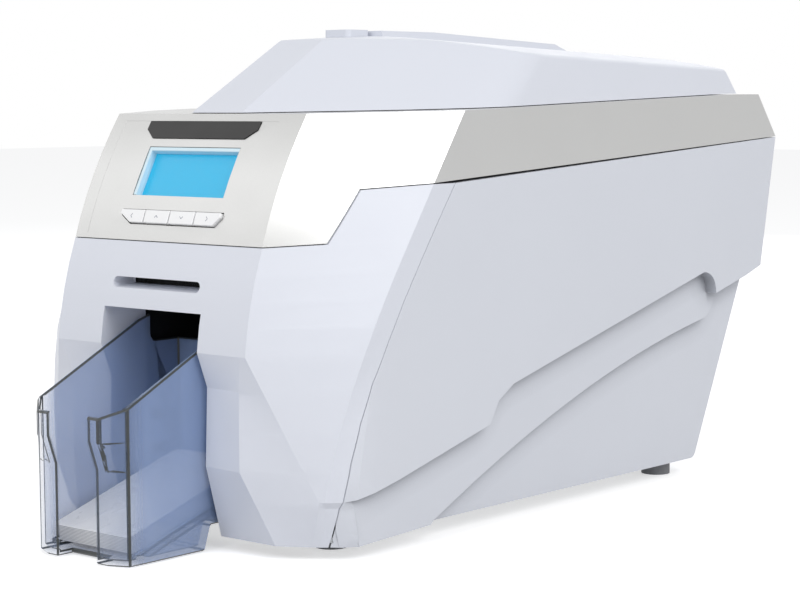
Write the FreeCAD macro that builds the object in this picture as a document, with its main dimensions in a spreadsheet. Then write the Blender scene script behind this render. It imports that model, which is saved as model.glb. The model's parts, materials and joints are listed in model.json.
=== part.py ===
import FreeCAD, Part
import math
import os
import re
from types import SimpleNamespace

import Sketcher
from FreeCAD import Placement, Rotation, Vector

# Card printer with a front card tray, a sloped display panel and a rear-hinged lid.
# Millimetres. +X is right as seen from the front, +Y runs to the back, +Z is up.
# The origin is on the ground, in the middle of the overall box.
# Depths are counted from the crease across the front cover, towards the back.

SIZES = {
    # Overall body
    "body_width": 220.0,
    "body_length": 401.0,
    "tray_reach": 52.0,
    "wall": 2.5,
    "seam_gap": 0.5,
    "overrun": 20.0,
    # Front cover
    "base_height": 9.0,
    "skirt_height": 6.5,
    "crease_height": 97.0,
    "face_width": 132.0,
    "front_seam_height": 147.7,
    "front_seam_depth": 12.4,
    "knee_low_height": 42.0,
    "knee_high_height": 80.0,
    "knee_depth": 2.5,
    "knee_spread": 59.0,
    "foot_spread": 70.6,
    "foot_depth": 14.5,
    "bay_edge_low_depth": 14.6,
    "bay_edge_knee_depth": 5.0,
    "bay_edge_top_depth": 6.4,
    "toe_inset": 24.5,
    "toe_depth": 23.5,
    "toe_edge_inset": 20.0,
    "toe_edge_depth": 26.8,
    "ledge_height": 26.0,
    "ledge_inset": 17.7,
    "ledge_depth": 21.0,
    "ledge_edge_inset": 15.8,
    "ledge_edge_depth": 23.8,
    "chamfer_foot_height": 29.0,
    "chamfer_foot_depth": 8.0,
    "crease_foot_inset": 17.0,
    "crease_foot_depth": 20.6,
    "taper_height": 105.0,
    "taper_inset": 15.0,
    "taper_depth": 14.0,
    "round_near_inset": 4.0,
    "round_far_inset": 1.2,
    "round_near_depth": 11.0,
    "round_far_depth": 20.0,
    "round_end_depth": 36.0,
    "seam_sweep": 8.0,
    "chamfer_bend_height": 136.4,
    "chamfer_bend_depth": 57.5,
    "chamfer_top_rise": 1.2,
    "chamfer_top_depth": 108.5,
    "strip_foot_width": 12.5,
    "strip_top_width": 16.3,
    # Card bay and hand-feed slot in the front cover
    "bay_width": 68.0,
    "bay_height": 115.2,
    "bay_return": 30.0,
    "slot_width": 61.0,
    "slot_low_height": 124.7,
    "slot_tall": 5.3,
    "slot_mouth_depth": 21.8,
    "slot_rise": 1.1,
    "slot_throat_tall": 3.3,
    "slot_throat_inset": 1.0,
    # Satin top frame
    "rim_height": 209.5,
    "rim_depth": 43.4,
    "panel_bulge": 2.9,
    "band_step_low_depth": 36.0,
    "band_step_low_height": 149.0,
    "band_step_top_depth": 54.7,
    "band_step_top_height": 174.0,
    "band_edge_height": 176.3,
    "band_rear_height": 193.7,
    "deck_rise": 8.8,
    "deck_level_depth": 356.4,
    "deck_end_depth": 381.1,
    "deck_ledge": 9.0,
    # Side covers, rear end and levels
    "strip_inset": 5.0,
    "base_inset": 11.0,
    "cover_inset": 14.0,
    "rear_knee_depth": 385.7,
    "rear_knee_height": 118.4,
    "rear_under_depth": 369.1,
    "rear_under_height": 113.2,
    "nub_depth": 337.3,
    "nub_height": 105.3,
    "nose_depth": 334.7,
    "nose_height": 113.5,
    "swoosh_top_depth": 324.9,
    "swoosh_top_height": 118.1,
    "swoosh_bend_depth": 147.6,
    "swoosh_bend_height": 73.2,
    "swoosh_drop_depth": 135.3,
    "swoosh_drop_height": 65.9,
    "swoosh_low_depth": 128.3,
    "swoosh_low_height": 54.7,
    "tip_high_depth": 340.5,
    "tip_high_height": 111.0,
    "tip_depth": 345.5,
    "tip_height": 103.0,
    "tip_low_depth": 342.0,
    "tip_low_height": 94.8,
    "strip_end_depth": 333.3,
    "strip_end_height": 90.3,
    "strip_mid_depth": 265.9,
    "strip_mid_height": 75.6,
    "strip_near_depth": 171.7,
    "strip_near_height": 45.2,
    "strip_toe_depth": 92.4,
    "strip_toe_height": 11.1,
    "base_rear_height": 111.6,
    "base_rear_depth": 385.5,
    "base_heel_depth": 336.2,
    "heel_radius": 5.0,
    # Lid
    "lid_nose_width": 35.0,
    "lid_nose_depth": 47.5,
    "lid_margin": 4.0,
    "lid_shoulder_depth": 138.0,
    "lid_rear_depth": 372.0,
    "lid_crest_depth": 115.0,
    "lid_crest_rise": 40.1,
    "lid_crest_width": 30.0,
    "lid_top_inset": 15.2,
    "lid_top_shoulder_depth": 190.0,
    "lid_tail_depth": 364.0,
    "lid_tail_drop": 7.3,
    "lid_edge_radius": 4.0,
    "lid_shoulder_radius": 40.0,
    "crown_radius": 500.0,
    "crown_peak_depth": 150.0,
    "crown_front_drop": 2.0,
    "spine_width": 30.0,
    "spine_foot_width": 46.0,
    "spine_rise": 2.8,
    "spine_front_depth": 154.6,
    "spine_rise_depth": 156.0,
    "spine_fall_depth": 200.0,
    "spine_rear_depth": 308.0,
    "spine_rear_rise": 5.5,
    "spine_tail_depth": 322.0,
    # Release button and latch in the lid
    "button_width": 18.0,
    "button_front_depth": 137.0,
    "button_length": 17.0,
    "button_proud": 0.4,
    "button_tall": 9.0,
    "button_travel": 3.0,
    "button_corner": 3.0,
    "slip": 0.4,
    "latch_thick": 2.0,
    "latch_width": 12.0,
    "latch_toe_depth": 90.0,
    "latch_toe_drop": 6.5,
    "latch_bar_drop": 20.6,
    "latch_heel_depth": 152.0,
    "cradle_front_depth": 100.0,
    "cradle_rear_depth": 125.0,
    # Lid hinge
    "hinge_depth": 375.5,
    "hinge_drop": 6.8,
    "hinge_arm_spread": 76.0,
    "hinge_arm_width": 8.0,
    "hinge_boss_radius": 5.0,
    "hinge_pin_radius": 2.5,
    "running_fit": 0.05,
    "seat_gap": 0.3,
    "bracket_thick": 3.0,
    "bracket_reach": 3.5,
    # Display panel
    "display_width": 63.8,
    "display_low_height": 24.5,
    "display_tall": 26.8,
    "display_recess": 3.0,
    "bezel_rim": 2.0,
    "bezel_sink": 0.5,
    "screen_thick": 2.0,
    "window_thick": 1.0,
    "key_row_width": 70.6,
    "key_low_height": 9.0,
    "key_tall": 7.4,
    "key_gap": 0.8,
    "key_cut_width": 7.6,
    "key_cut_far_width": 4.0,
    "key_cut_tall": 4.4,
    "key_proud": 1.6,
    "key_travel": 0.8,
    "key_stem_tall": 5.0,
    "badge_width": 78.0,
    "badge_low_height": 55.0,
    "badge_tall": 10.4,
    "badge_cut_width": 6.6,
    "badge_thick": 0.8,
    "badge_sink": 0.5,
    "board_thick": 1.6,
    # Feet and base plate
    "foot_radius": 8.2,
    "foot_front_spacing": 140.0,
    "foot_rear_spacing": 158.0,
    "foot_front_depth": 54.0,
    "foot_rear_depth": 323.0,
    "base_margin": 2.0,
    "base_plate_front_depth": 28.0,
    "base_plate_rear_depth": 330.0,
    "sheet_thick": 2.0,
    "base_flange_tall": 14.0,
    # Card transport
    "plate_spread": 52.0,
    "plate_front_depth": 62.0,
    "plate_rear_depth": 344.0,
    "plate_top_height": 198.0,
    "path_height": 126.0,
    "path_gap": 1.0,
    "roller_radius": 9.0,
    "roller_width": 56.0,
    "shaft_radius": 3.0,
    "bush_radius": 5.0,
    "platen_depth": 192.0,
    "cleaner_depth": 146.0,
    "pick_radius": 12.0,
    "pick_width": 28.0,
    "gear_module": 1.0,
    "gear_width": 6.0,
    "gear_stand_off": 3.0,
    "gear_slack": 0.1,
    "tooth_backlash": 0.3,
    "stud_radius": 2.5,
    "motor_width": 35.0,
    "motor_length": 28.0,
    "motor_boss_radius": 11.0,
    "motor_shaft_radius": 2.5,
    "rail_under_tall": 2.0,
    "rail_over_tall": 2.4,
    "rail_front_depth": 62.0,
    "rail_rear_depth": 300.0,
    "bar_radius": 3.5,
    # Ribbon and print head
    "spool_height": 185.0,
    "supply_depth": 252.0,
    "take_up_depth": 112.0,
    "supply_radius": 20.0,
    "take_up_radius": 13.0,
    "spool_flange_radius": 24.0,
    "spool_flange_thick": 2.0,
    "spool_film_width": 54.0,
    "journal_radius": 5.0,
    "film_thick": 0.3,
    "film_low_front_depth": 165.0,
    "film_low_rear_depth": 214.0,
    "head_width": 54.0,
    "head_front_depth": 180.0,
    "head_rear_depth": 204.0,
    "head_tall": 14.0,
    "carrier_width": 76.0,
    "carrier_front_depth": 174.0,
    "carrier_rear_depth": 208.0,
    # Electronics and rear sockets
    "board_width": 96.0,
    "board_front_depth": 226.0,
    "board_rear_depth": 347.0,
    "board_height": 46.0,
    "pocket_width": 100.0,
    "pocket_low_height": 42.0,
    "pocket_high_height": 104.0,
    "pocket_depth": 350.0,
    "pocket_wall": 1.5,
    "network_width": 16.0,
    "network_tall": 13.4,
    "network_length": 21.0,
    "network_mouth_width": 11.8,
    "network_mouth_tall": 8.0,
    "network_offset": -34.0,
    "usb_width": 12.0,
    "usb_tall": 11.0,
    "usb_length": 16.5,
    "usb_offset": -10.0,
    "inlet_width": 9.0,
    "inlet_tall": 11.0,
    "inlet_length": 14.0,
    "inlet_hole_radius": 3.2,
    "inlet_pin_radius": 1.0,
    "inlet_offset": 10.0,
    "switch_width": 15.0,
    "switch_tall": 21.0,
    "switch_length": 18.0,
    "switch_offset": 34.0,
    "switch_height": 76.0,
    "switch_rim": 1.5,
    "rocker_width": 10.0,
    "rocker_tall": 16.0,
    "rocker_pivot_radius": 1.5,
    # Card tray
    "tray_width": 64.0,
    "tray_wall": 2.0,
    "tray_corner_depth": 42.5,
    "tray_corner_height": 74.8,
    "tray_bottom_height": 0.6,
    "tray_floor_thick": 2.4,
    "tray_step_depth": 6.0,
    "tray_step_end_depth": 10.0,
    "tray_inner_height": 12.6,
    "tray_rise_depth": 21.7,
    "tray_rise_height": 106.8,
    "tray_top_height": 109.4,
    "tray_rear_depth": 50.6,
    "tray_notch_depth": 30.0,
    "tray_notch_height": 96.0,
    "tray_notch_radius": 3.0,
    "snap_front_depth": 30.0,
    "snap_rear_depth": 48.0,
    "snap_low_height": 39.0,
    "snap_high_height": 60.0,
    "snap_slot": 4.0,
    "post_gap": 27.0,
    "post_fold_spread": 21.5,
    "post_back_depth": 4.6,
    "post_top_height": 70.2,
    "post_bend_high_height": 59.0,
    "post_bend_low_height": 45.0,
    "rest_rib_width": 4.6,
    "rest_rib_thick": 1.5,
    # Cards
    "card_width": 54.0,
    "card_length": 85.6,
    "card_thick": 0.76,
    "card_corner": 3.2,
    "card_front_depth": 36.0,
    "card_front_height": 5.0,
    "card_air": 0.03,
    # Bay liner
    "liner_wall": 1.6,
    "liner_rear_depth": 96.0,
    "liner_floor_height": 11.2,
    # Screws
    "screw_spread": 66.0,
    "screw_front_depth": 76.0,
    "screw_rear_depth": 296.0,
    "bracket_foot_length": 20.0,
    "bracket_foot_reach": 20.0,
    "bracket_foot_tall": 24.0,
    "screw_radius": 2.8,
    "screw_tall": 1.8,
    "screw_shank_radius": 1.4,
    "screw_shank_tall": 6.0,
}

# Slopes and counts
LOWER_FACE_SLOPE_SHARE = 0.1
CARD_SLOPE_DEGREES = 17.8
CARD_COUNT = 11
AIR_SLOT_COUNT = 7
DRIVE_GEAR_TEETH = 40
IDLER_TEETH = 28
PICK_TEETH = 24
PINION_TEETH = 18
PICK_DIRECTION_DEGREES = 221.0
KEY_COUNT = 4

# Distances that several pieces share, in words that the sheet's names make up
DERIVED = {
    "front_plane": "(tray_reach - body_length) / 2",
    "base_plate_width": "(body_width - 2 * cover_inset - 2 * base_margin)",
    "deck_rear_height": "(rim_height + deck_rise)",
    "hinge_height": "(rim_height + deck_rise - hinge_drop)",
}

os.makedirs("parts", exist_ok=True)
doc = FreeCAD.newDocument("CardPrinter")
sheet = doc.addObject("Spreadsheet::Sheet", "Sizes")
for row, (alias, value) in enumerate(SIZES.items(), start=1):
    sheet.set(f"A{row}", alias)
    sheet.set(f"B{row}", str(value))
    sheet.setAlias(f"B{row}", alias)
doc.recompute()
S = SimpleNamespace(**{alias: float(sheet.get(alias)) for alias in SIZES})

FRONT = (S.tray_reach - S.body_length) / 2
HALF = S.body_width / 2
S.toe_spread = HALF - S.toe_inset
S.toe_edge_spread = HALF - S.toe_edge_inset
S.ledge_spread = HALF - S.ledge_inset
S.ledge_edge_spread = HALF - S.ledge_edge_inset
S.crease_foot_spread = HALF - S.crease_foot_inset
S.strip_level = HALF - S.strip_inset
S.base_level = HALF - S.base_inset
S.cover_root = HALF - S.cover_inset
S.chamfer_top_height = S.rim_height + S.chamfer_top_rise
S.deck_rear_height = S.rim_height + S.deck_rise
S.hinge_height = S.deck_rear_height - S.hinge_drop
S.lid_width = S.body_width - 2 * S.lid_margin
S.lid_top_width = S.lid_width - 2 * S.lid_top_inset
S.lid_crest_height = S.rim_height + S.lid_crest_rise
S.lid_tail_height = S.lid_crest_height - S.lid_tail_drop
S.lid_side_height = S.lid_tail_height - S.crown_radius + math.sqrt(
    S.crown_radius**2 - (S.lid_top_width / 2)**2)
S.spine_height = S.lid_crest_height + S.spine_rise
S.spine_rear_height = S.lid_tail_height + S.spine_rear_rise
S.latch_bar_height = S.lid_crest_height - S.latch_bar_drop
S.latch_toe_height = S.rim_height - S.latch_toe_drop
FACE_HALF = S.face_width / 2
BAY_HALF = S.bay_width / 2
NODES = {}


def bound(words):
    """An expression in size names, turned into one that reads the sheet."""
    for name, meaning in DERIVED.items():
        words = re.sub(rf"\b{name}\b", meaning, words)
    return re.sub(r"[a-z]+(_[a-z]+)*", lambda found: "Sizes." + found.group(0), words)


def place(thing, x, y, z, turn=None):
    """Puts a thing where three expressions say."""
    if turn:
        thing.Placement = Placement(Vector(), turn)
    for axis, words in zip("xyz", (x, y, z)):
        thing.setExpression(f"Placement.Base.{axis}", bound(words))
    return thing


def node(thing, name):
    """Names a finished sub-part, which is then written to its own file."""
    thing.Label = name
    NODES[name] = thing
    return thing


def block(name, x, y, z):
    """A box between two expressions along each axis."""
    thing = doc.addObject("Part::Box", name)
    for size, (low, high) in zip(("Length", "Width", "Height"), (x, y, z)):
        thing.setExpression(size, bound(f"({high}) - ({low})"))
    return place(thing, x[0], y[0], z[0])


TO_X = Rotation(Vector(0, 1, 0), 90)
TO_REAR = Rotation(Vector(1, 0, 0), -90)


def rod(name, radius, x, y, z):
    """A cylinder along X between two expressions."""
    thing = doc.addObject("Part::Cylinder", name)
    thing.setExpression("Radius", bound(radius))
    thing.setExpression("Height", bound(f"({x[1]}) - ({x[0]})"))
    return place(thing, x[0], y, z, TO_X)


def peg(name, radius, x, y, z):
    """A cylinder along Z between two expressions."""
    thing = doc.addObject("Part::Cylinder", name)
    thing.setExpression("Radius", bound(radius))
    thing.setExpression("Height", bound(f"({z[1]}) - ({z[0]})"))
    return place(thing, x, y, z[0])


def bolt(name, radius, x, y, z):
    """A cylinder along Y between two expressions."""
    thing = doc.addObject("Part::Cylinder", name)
    thing.setExpression("Radius", bound(radius))
    thing.setExpression("Height", bound(f"({y[1]}) - ({y[0]})"))
    return place(thing, x, y[0], z, TO_REAR)


def fused(name, *things):
    """Several solids made one."""
    thing = doc.addObject("Part::MultiFuse", name)
    thing.Shapes = list(things)
    thing.Refine = True
    return thing


def cut(name, base, *tools):
    """One solid less the others."""
    for index, tool in enumerate(tools):
        thing = doc.addObject("Part::Cut", f"{name}_{index}")
        thing.Base = base
        thing.Tool = tool
        base = thing
    return base


def group(name, *things):
    """Like pieces kept as separate solids of one node."""
    thing = doc.addObject("Part::Compound", name)
    thing.Links = list(things)
    return thing


def shaped(name, shape):
    """A piece whose form is worked out in code."""
    thing = doc.addObject("Part::Feature", name)
    thing.Shape = shape
    return thing


def side_prism(outline, x_low, x_high):
    """A prism across X over an outline of depths and heights."""
    points = [Vector(x_low, FRONT + depth, height) for depth, height in outline]
    face = Part.Face(Part.makePolygon(points + points[:1]))
    return face.extrude(Vector(x_high - x_low, 0, 0))


def plan_prism(outline, z_low, z_high):
    """A prism along Z over an outline of widths and depths."""
    points = [Vector(x, FRONT + depth, z_low) for x, depth in outline]
    face = Part.Face(Part.makePolygon(points + points[:1]))
    return face.extrude(Vector(0, 0, z_high - z_low))


def cuboid(x, depth, z):
    """A box in code, between two widths, depths and heights."""
    size = (x[1] - x[0], depth[1] - depth[0], z[1] - z[0])
    return Part.makeBox(*size, Vector(x[0], FRONT + depth[0], z[0]))


def between(value, low, high, start, end):
    """The value that a straight line through (low, start) and (high, end) has."""
    return start + (end - start) * (value - low) / (high - low)


# The front and the chamfers beside it


def face_depth(height):
    """Depth of the front face: curved up to the seam, and bulging a little above it."""
    if height >= S.front_seam_height:
        share = between(height, S.front_seam_height, S.rim_height, 0.0, 1.0)
        straight = between(share, 0.0, 1.0, S.front_seam_depth, S.rim_depth)
        return straight - 4 * S.panel_bulge * share * (1 - share)
    rise = max(height - S.crease_height, 0.0)
    full = S.front_seam_height - S.crease_height
    bend = (S.front_seam_depth - LOWER_FACE_SLOPE_SHARE * full) / full**2
    return LOWER_FACE_SLOPE_SHARE * rise + bend * rise**2


def chamfer_depth(height):
    """Depth of the edge where the chamfer meets the side."""
    slope = S.chamfer_top_depth - S.chamfer_bend_depth
    slope /= S.chamfer_top_height - S.chamfer_bend_height
    if height >= S.chamfer_bend_height:
        return S.chamfer_bend_depth + slope * (height - S.chamfer_bend_height)
    full = S.chamfer_bend_height - S.chamfer_foot_height
    reach = S.chamfer_bend_depth - S.chamfer_foot_depth
    bend = (slope * full - reach) / full**2
    start = slope - 2 * bend * full
    rise = height - S.chamfer_foot_height
    return S.chamfer_foot_depth + start * rise + bend * rise**2


def seam_depth(height):
    """Depth of the seam between front cover and side cover."""
    low, high = S.chamfer_foot_height, S.band_edge_height
    strip = between(height, low, high, S.strip_foot_width, S.strip_top_width)
    sweep = max(between(height, S.knee_high_height, low, 0.0, S.seam_sweep), 0.0)
    return chamfer_depth(height) + strip + sweep


def taper_share(height):
    """How far the chamfer has drawn in from the side at a height: none above, all at its foot."""
    return min(max(between(height, S.taper_height, S.chamfer_foot_height, 0.0, 1.0), 0.0), 1.0)


def side_round(edge, height):
    """Three points by which the plan turns from the chamfer's edge into the straight side."""
    taper = taper_share(height)
    return [(HALF - S.round_near_inset * taper, edge[1] + S.round_near_depth),
            (HALF - S.round_far_inset * taper, edge[1] + S.round_far_depth),
            (HALF, edge[1] + S.round_end_depth)]


def plan_points(height):
    """Half the plan of the front at one height: bay edge, knee, corner and chamfer edge."""
    if height <= S.ledge_height:
        share = (S.skirt_height, S.ledge_height)
        knee_x = between(height, S.skirt_height, S.knee_low_height, S.foot_spread, S.knee_spread)
        knee_y = between(height, S.skirt_height, S.knee_low_height, S.foot_depth, S.knee_depth)
        bay = between(height, S.skirt_height, S.knee_low_height,
                      S.bay_edge_low_depth, S.bay_edge_knee_depth)
        corner = (between(height, *share, S.toe_spread, S.ledge_spread),
                  between(height, *share, S.toe_depth, S.ledge_depth))
        edge = (between(height, *share, S.toe_edge_spread, S.ledge_edge_spread),
                between(height, *share, S.toe_edge_depth, S.ledge_edge_depth))
        return [(BAY_HALF, bay), (knee_x, knee_y), corner, edge]
    taper = taper_share(height)
    edge = (HALF - S.taper_inset * taper, chamfer_depth(height) + S.taper_depth * taper)
    if height >= S.crease_height:
        depth = face_depth(height)
        knee_x = (S.knee_spread + FACE_HALF) / 2
        return [(BAY_HALF, depth), (knee_x, depth), (FACE_HALF, depth), edge]
    corner = (between(height, S.crease_height, S.chamfer_foot_height,
                      FACE_HALF, S.crease_foot_spread),
              between(height, S.crease_height, S.chamfer_foot_height,
                      0.0, S.crease_foot_depth))
    if height >= S.knee_high_height:
        span = (height, S.knee_high_height, S.crease_height)
        knee = (between(*span, S.knee_spread, (S.knee_spread + FACE_HALF) / 2),
                between(*span, S.knee_depth, 0.0))
        bay = between(*span, S.bay_edge_top_depth, 0.0)
    elif height >= S.knee_low_height:
        knee = (S.knee_spread, S.knee_depth)
        bay = between(height, S.knee_low_height, S.knee_high_height,
                      S.bay_edge_knee_depth, S.bay_edge_top_depth)
    else:
        span = (height, S.skirt_height, S.knee_low_height)
        knee = (between(*span, S.foot_spread, S.knee_spread),
                between(*span, S.foot_depth, S.knee_depth))
        bay = between(*span, S.bay_edge_low_depth, S.bay_edge_knee_depth)
    return [(BAY_HALF, bay), knee, corner, edge]


CORNER_INSET_SHARE = 0.5
EDGE_INSET_SHARE = 0.33
BLOCK_TOP = S.deck_rear_height + S.overrun
PANEL_STEPS = 6


def body_block(inset):
    """The printer's outer block, or with an inset the space inside its walls."""
    rear = S.body_length + S.overrun
    rise = (S.front_seam_height - S.crease_height) / 4
    heights = [S.skirt_height, S.ledge_height, S.chamfer_foot_height, S.knee_low_height]
    heights.append((S.knee_low_height + S.knee_high_height) / 2)
    heights += [S.knee_high_height, S.crease_height]
    heights += [S.crease_height + rise * step for step in (1, 2, 3, 4)]
    rise = (S.rim_height - S.front_seam_height) / PANEL_STEPS
    heights += [S.front_seam_height + rise * (step + 1) for step in range(PANEL_STEPS)]
    heights.append(BLOCK_TOP)
    wires = []
    for height in heights:
        bay, knee, corner, edge = plan_points(height)
        half = [
            (bay[0], bay[1] + inset),
            (knee[0], knee[1] + inset),
            (corner[0] - inset * CORNER_INSET_SHARE, corner[1] + inset),
            (edge[0] - inset, edge[1] + inset * EDGE_INSET_SHARE),
        ]
        half += [(x - inset, depth) for x, depth in side_round(edge, height)]
        half.append((HALF - inset, rear))
        ring = half + [(-x, depth) for x, depth in reversed(half)]
        points = [Vector(x, FRONT + depth, height) for x, depth in ring]
        wires.append(Part.makePolygon(points + points[:1]))
    return Part.makeLoft(wires, True, True)


def band_line(drop):
    """The lower edge of the satin band, from front to rear, lowered by a gap."""
    return [
        (S.front_seam_depth, S.front_seam_height - drop),
        (S.band_step_low_depth + drop, S.band_step_low_height - drop),
        (S.band_step_top_depth + drop, S.band_step_top_height - drop),
        (chamfer_depth(S.band_edge_height), S.band_edge_height - drop),
        (S.body_length, S.band_rear_height - drop),
    ]


def seam_line(shift):
    """The seam between the front cover and a side cover, from top to bottom."""
    steps = 8
    line = []
    for step in range(steps + 1):
        height = between(step, 0, steps, S.band_edge_height, S.chamfer_foot_height)
        line.append((seam_depth(height) + shift, height))
    return line


OUTER = body_block(0.0)
INNER = body_block(S.wall)


def deck_line(sink):
    """The top of the frame in side view, front to rear, sunk by a wall."""
    return [
        (S.rim_depth, S.rim_height - sink),
        (S.chamfer_top_depth, S.chamfer_top_height - sink),
        (S.deck_level_depth, S.deck_rear_height - sink),
        (S.deck_end_depth - sink / 2, S.deck_rear_height - sink),
        (S.body_length - sink, S.band_rear_height),
    ]


PANEL_RUN = S.rim_depth - S.front_seam_depth
PANEL_RISE = S.rim_height - S.front_seam_height
PANEL_LENGTH = math.hypot(PANEL_RUN, PANEL_RISE)


def panel_frame(seat):
    """A seat on the curved display panel, at a distance up its chord, with its up and out."""
    share = seat / PANEL_LENGTH
    height = S.front_seam_height + PANEL_RISE * share
    run = PANEL_RUN - 4 * S.panel_bulge * (1 - 2 * share)
    up = Vector(0, run, PANEL_RISE).normalize()
    return Vector(0, FRONT + face_depth(height), height), up, Vector(0, -up.z, up.y)


def panel_point(x, up, out, seat):
    """A point by the panel: across, up from the seam, and out of the plane at a seat."""
    foot, up_way, out_way = panel_frame(seat)
    return foot + Vector(x, 0, 0) + up_way * (up - seat) + out_way * out


def panel_prism(outline, out_low, out_high, seat):
    """A prism square to the panel at a seat, over an outline of (across, up) points."""
    points = [panel_point(x, up, out_low, seat) for x, up in outline]
    way = panel_frame(seat)[2] * (out_high - out_low)
    return Part.Face(Part.makePolygon(points + points[:1])).extrude(way)


def rectangle(low_x, high_x, low, high):
    """Four corners."""
    return [(low_x, low), (high_x, low), (high_x, high), (low_x, high)]


DISPLAY_HALF = S.display_width / 2
DISPLAY_TOP = S.display_low_height + S.display_tall
DISPLAY_SEAT = S.display_low_height + S.display_tall / 2
KEY_PITCH = S.key_row_width / KEY_COUNT
KEY_ROW_HALF = S.key_row_width / 2
KEY_SEAT = S.key_low_height + S.key_tall / 2
BADGE_SEAT = S.badge_low_height + S.badge_tall / 2
BEZEL_DEEP = S.display_recess + S.window_thick + S.screen_thick + S.bezel_rim


def key_row_outline(grow):
    """The row of four keys seen square on, with its lower corners cut off, grown all round."""
    half = KEY_ROW_HALF + grow
    low, high = S.key_low_height - grow, S.key_low_height + S.key_tall + grow
    bend = low + S.key_cut_tall
    return [(S.key_cut_width - half, low), (half - S.key_cut_far_width, low), (half, bend),
            (half, high), (-half, high), (-half, bend)]


def badge_outline(shrink):
    """The bare dark plate above the display, with its lower corners cut off."""
    half = S.badge_width / 2 - shrink
    low, high = S.badge_low_height + shrink, S.badge_low_height + S.badge_tall - shrink
    cut_in = half - S.badge_cut_width
    return [(-cut_in, low), (cut_in, low), (half, BADGE_SEAT), (half, high), (-half, high),
            (-half, BADGE_SEAT)]


def lid_rear(height):
    """Depth of the lid's rear face at a height."""
    return between(height, S.rim_height, S.lid_side_height, S.lid_rear_depth, S.lid_tail_depth)


def lid_plan(inset, height):
    """The lid's plan at a height, as a closed wire on one level."""
    span = (height, S.rim_height, S.lid_crest_height)
    nose = between(*span, S.lid_nose_width, S.lid_crest_width) / 2
    side = between(*span, S.lid_width, S.lid_top_width) / 2
    front = between(*span, S.lid_nose_depth, S.lid_crest_depth)
    shoulder = between(*span, S.lid_shoulder_depth, S.lid_top_shoulder_depth)
    rear = lid_rear(height)
    run = math.hypot(side - nose, shoulder - front)
    across, along = (side - nose) / run, (shoulder - front) / run
    turn = math.acos(across)
    nose_in = inset * (1 - across) / along
    shoulder_in = inset * math.tan((math.pi / 2 - turn) / 2)
    nose_x = nose - inset * math.tan(turn / 2)
    corner = Vector(side - inset, FRONT + shoulder + shoulder_in, height)
    start = Vector(nose_x, FRONT + front + inset, height)
    bend = S.lid_shoulder_radius * math.tan((math.pi / 2 - turn) / 2)
    enter = corner - Vector(across, along, 0) * bend
    leave = corner + Vector(0, bend, 0)
    centre = leave - Vector(S.lid_shoulder_radius, 0, 0)
    middle = centre + (corner - centre).normalize() * S.lid_shoulder_radius
    tail = Vector(side - inset, FRONT + rear - inset, height)

    def flip(point):
        return Vector(-point.x, point.y, point.z)

    edges = [
        Part.makeLine(flip(start), start),
        Part.makeLine(start, enter),
        Part.Arc(enter, middle, leave).toShape(),
        Part.makeLine(leave, tail),
        Part.makeLine(tail, flip(tail)),
        Part.makeLine(flip(tail), flip(leave)),
        Part.Arc(flip(leave), flip(middle), flip(enter)).toShape(),
        Part.makeLine(flip(enter), flip(start)),
    ]
    return Part.Wire(edges)


def crown(start, finish, inset):
    """A round-topped solid whose ridge runs through two points of depth and height."""
    foot = Vector(0, FRONT + start[0], start[1])
    way = (Vector(0, FRONT + finish[0], finish[1]) - foot).normalize()
    up = Vector(0, -way.z, way.y)
    radius, half = S.crown_radius - inset, S.body_width / 2
    ridge = foot - way * S.body_length - up * inset
    side = up * (math.sqrt(radius**2 - half**2) - radius)
    left, right = ridge + side - Vector(half, 0, 0), ridge + side + Vector(half, 0, 0)
    arc = Part.Arc(left, ridge, right).toShape()
    foot_left, foot_right = left - up * S.body_length, right - up * S.body_length
    sides = Part.makePolygon([right, foot_right, foot_left, left])
    return Part.Face(Part.Wire([arc] + sides.Edges)).extrude(way * 3 * S.body_length)


def crown_height(x, depth):
    """Height of the lid's crown at a place behind its peak."""
    ridge = between(depth, S.crown_peak_depth, S.lid_tail_depth,
                    S.lid_crest_height, S.lid_tail_height)
    return ridge - S.crown_radius + math.sqrt(S.crown_radius**2 - x**2)


def lid_block(inset):
    """The lid's outer form, or with an inset the space inside its wall."""
    high = S.lid_crest_height + S.wall
    body = Part.makeLoft([lid_plan(inset, S.rim_height), lid_plan(inset, high)], True, True)
    front = (S.lid_crest_depth, S.lid_crest_height - S.crown_front_drop)
    peak = (S.crown_peak_depth, S.lid_crest_height)
    tail = (S.lid_tail_depth, S.lid_tail_height)
    return body.common(crown(front, peak, inset)).common(crown(peak, tail, inset))


def spine_block(inset):
    """The raised spine along the lid, wider at its foot."""
    side = side_prism([
        (S.spine_front_depth + inset, S.rim_height),
        (S.spine_front_depth + inset, S.lid_side_height),
        (S.spine_rise_depth + inset, S.spine_height - inset),
        (S.spine_fall_depth, S.spine_height - inset),
        (S.spine_rear_depth - inset, S.spine_rear_height - inset),
        (S.spine_tail_depth - inset, S.lid_tail_height),
        (S.spine_tail_depth - inset, S.rim_height),
    ], -HALF, HALF)
    foot, top = S.spine_foot_width / 2 - inset, S.spine_width / 2 - inset
    low = S.lid_side_height
    corners = [(-foot, S.rim_height), (-foot, low), (-top, S.spine_height),
               (top, S.spine_height), (foot, low), (foot, S.rim_height)]
    points = [Vector(x, FRONT, height) for x, height in corners]
    across = Part.Face(Part.makePolygon(points + points[:1]))
    return side.common(across.extrude(Vector(0, S.body_length, 0)))


def rounded_box(x, depth, z, radius):
    """A box with its four upright edges rounded."""
    solid = cuboid(x, depth, z)
    upright = [edge for edge in solid.Edges
               if abs(edge.Vertexes[0].Z - edge.Vertexes[1].Z) > radius / 2]
    return solid.makeFillet(radius, upright)


def fillet_where(shape, radius, wanted):
    """Rounds the edges that a test picks."""
    edges = [edge for edge in shape.Edges if wanted(edge)]
    return shape.makeFillet(radius, edges) if edges else shape


# Moulded covers


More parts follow.
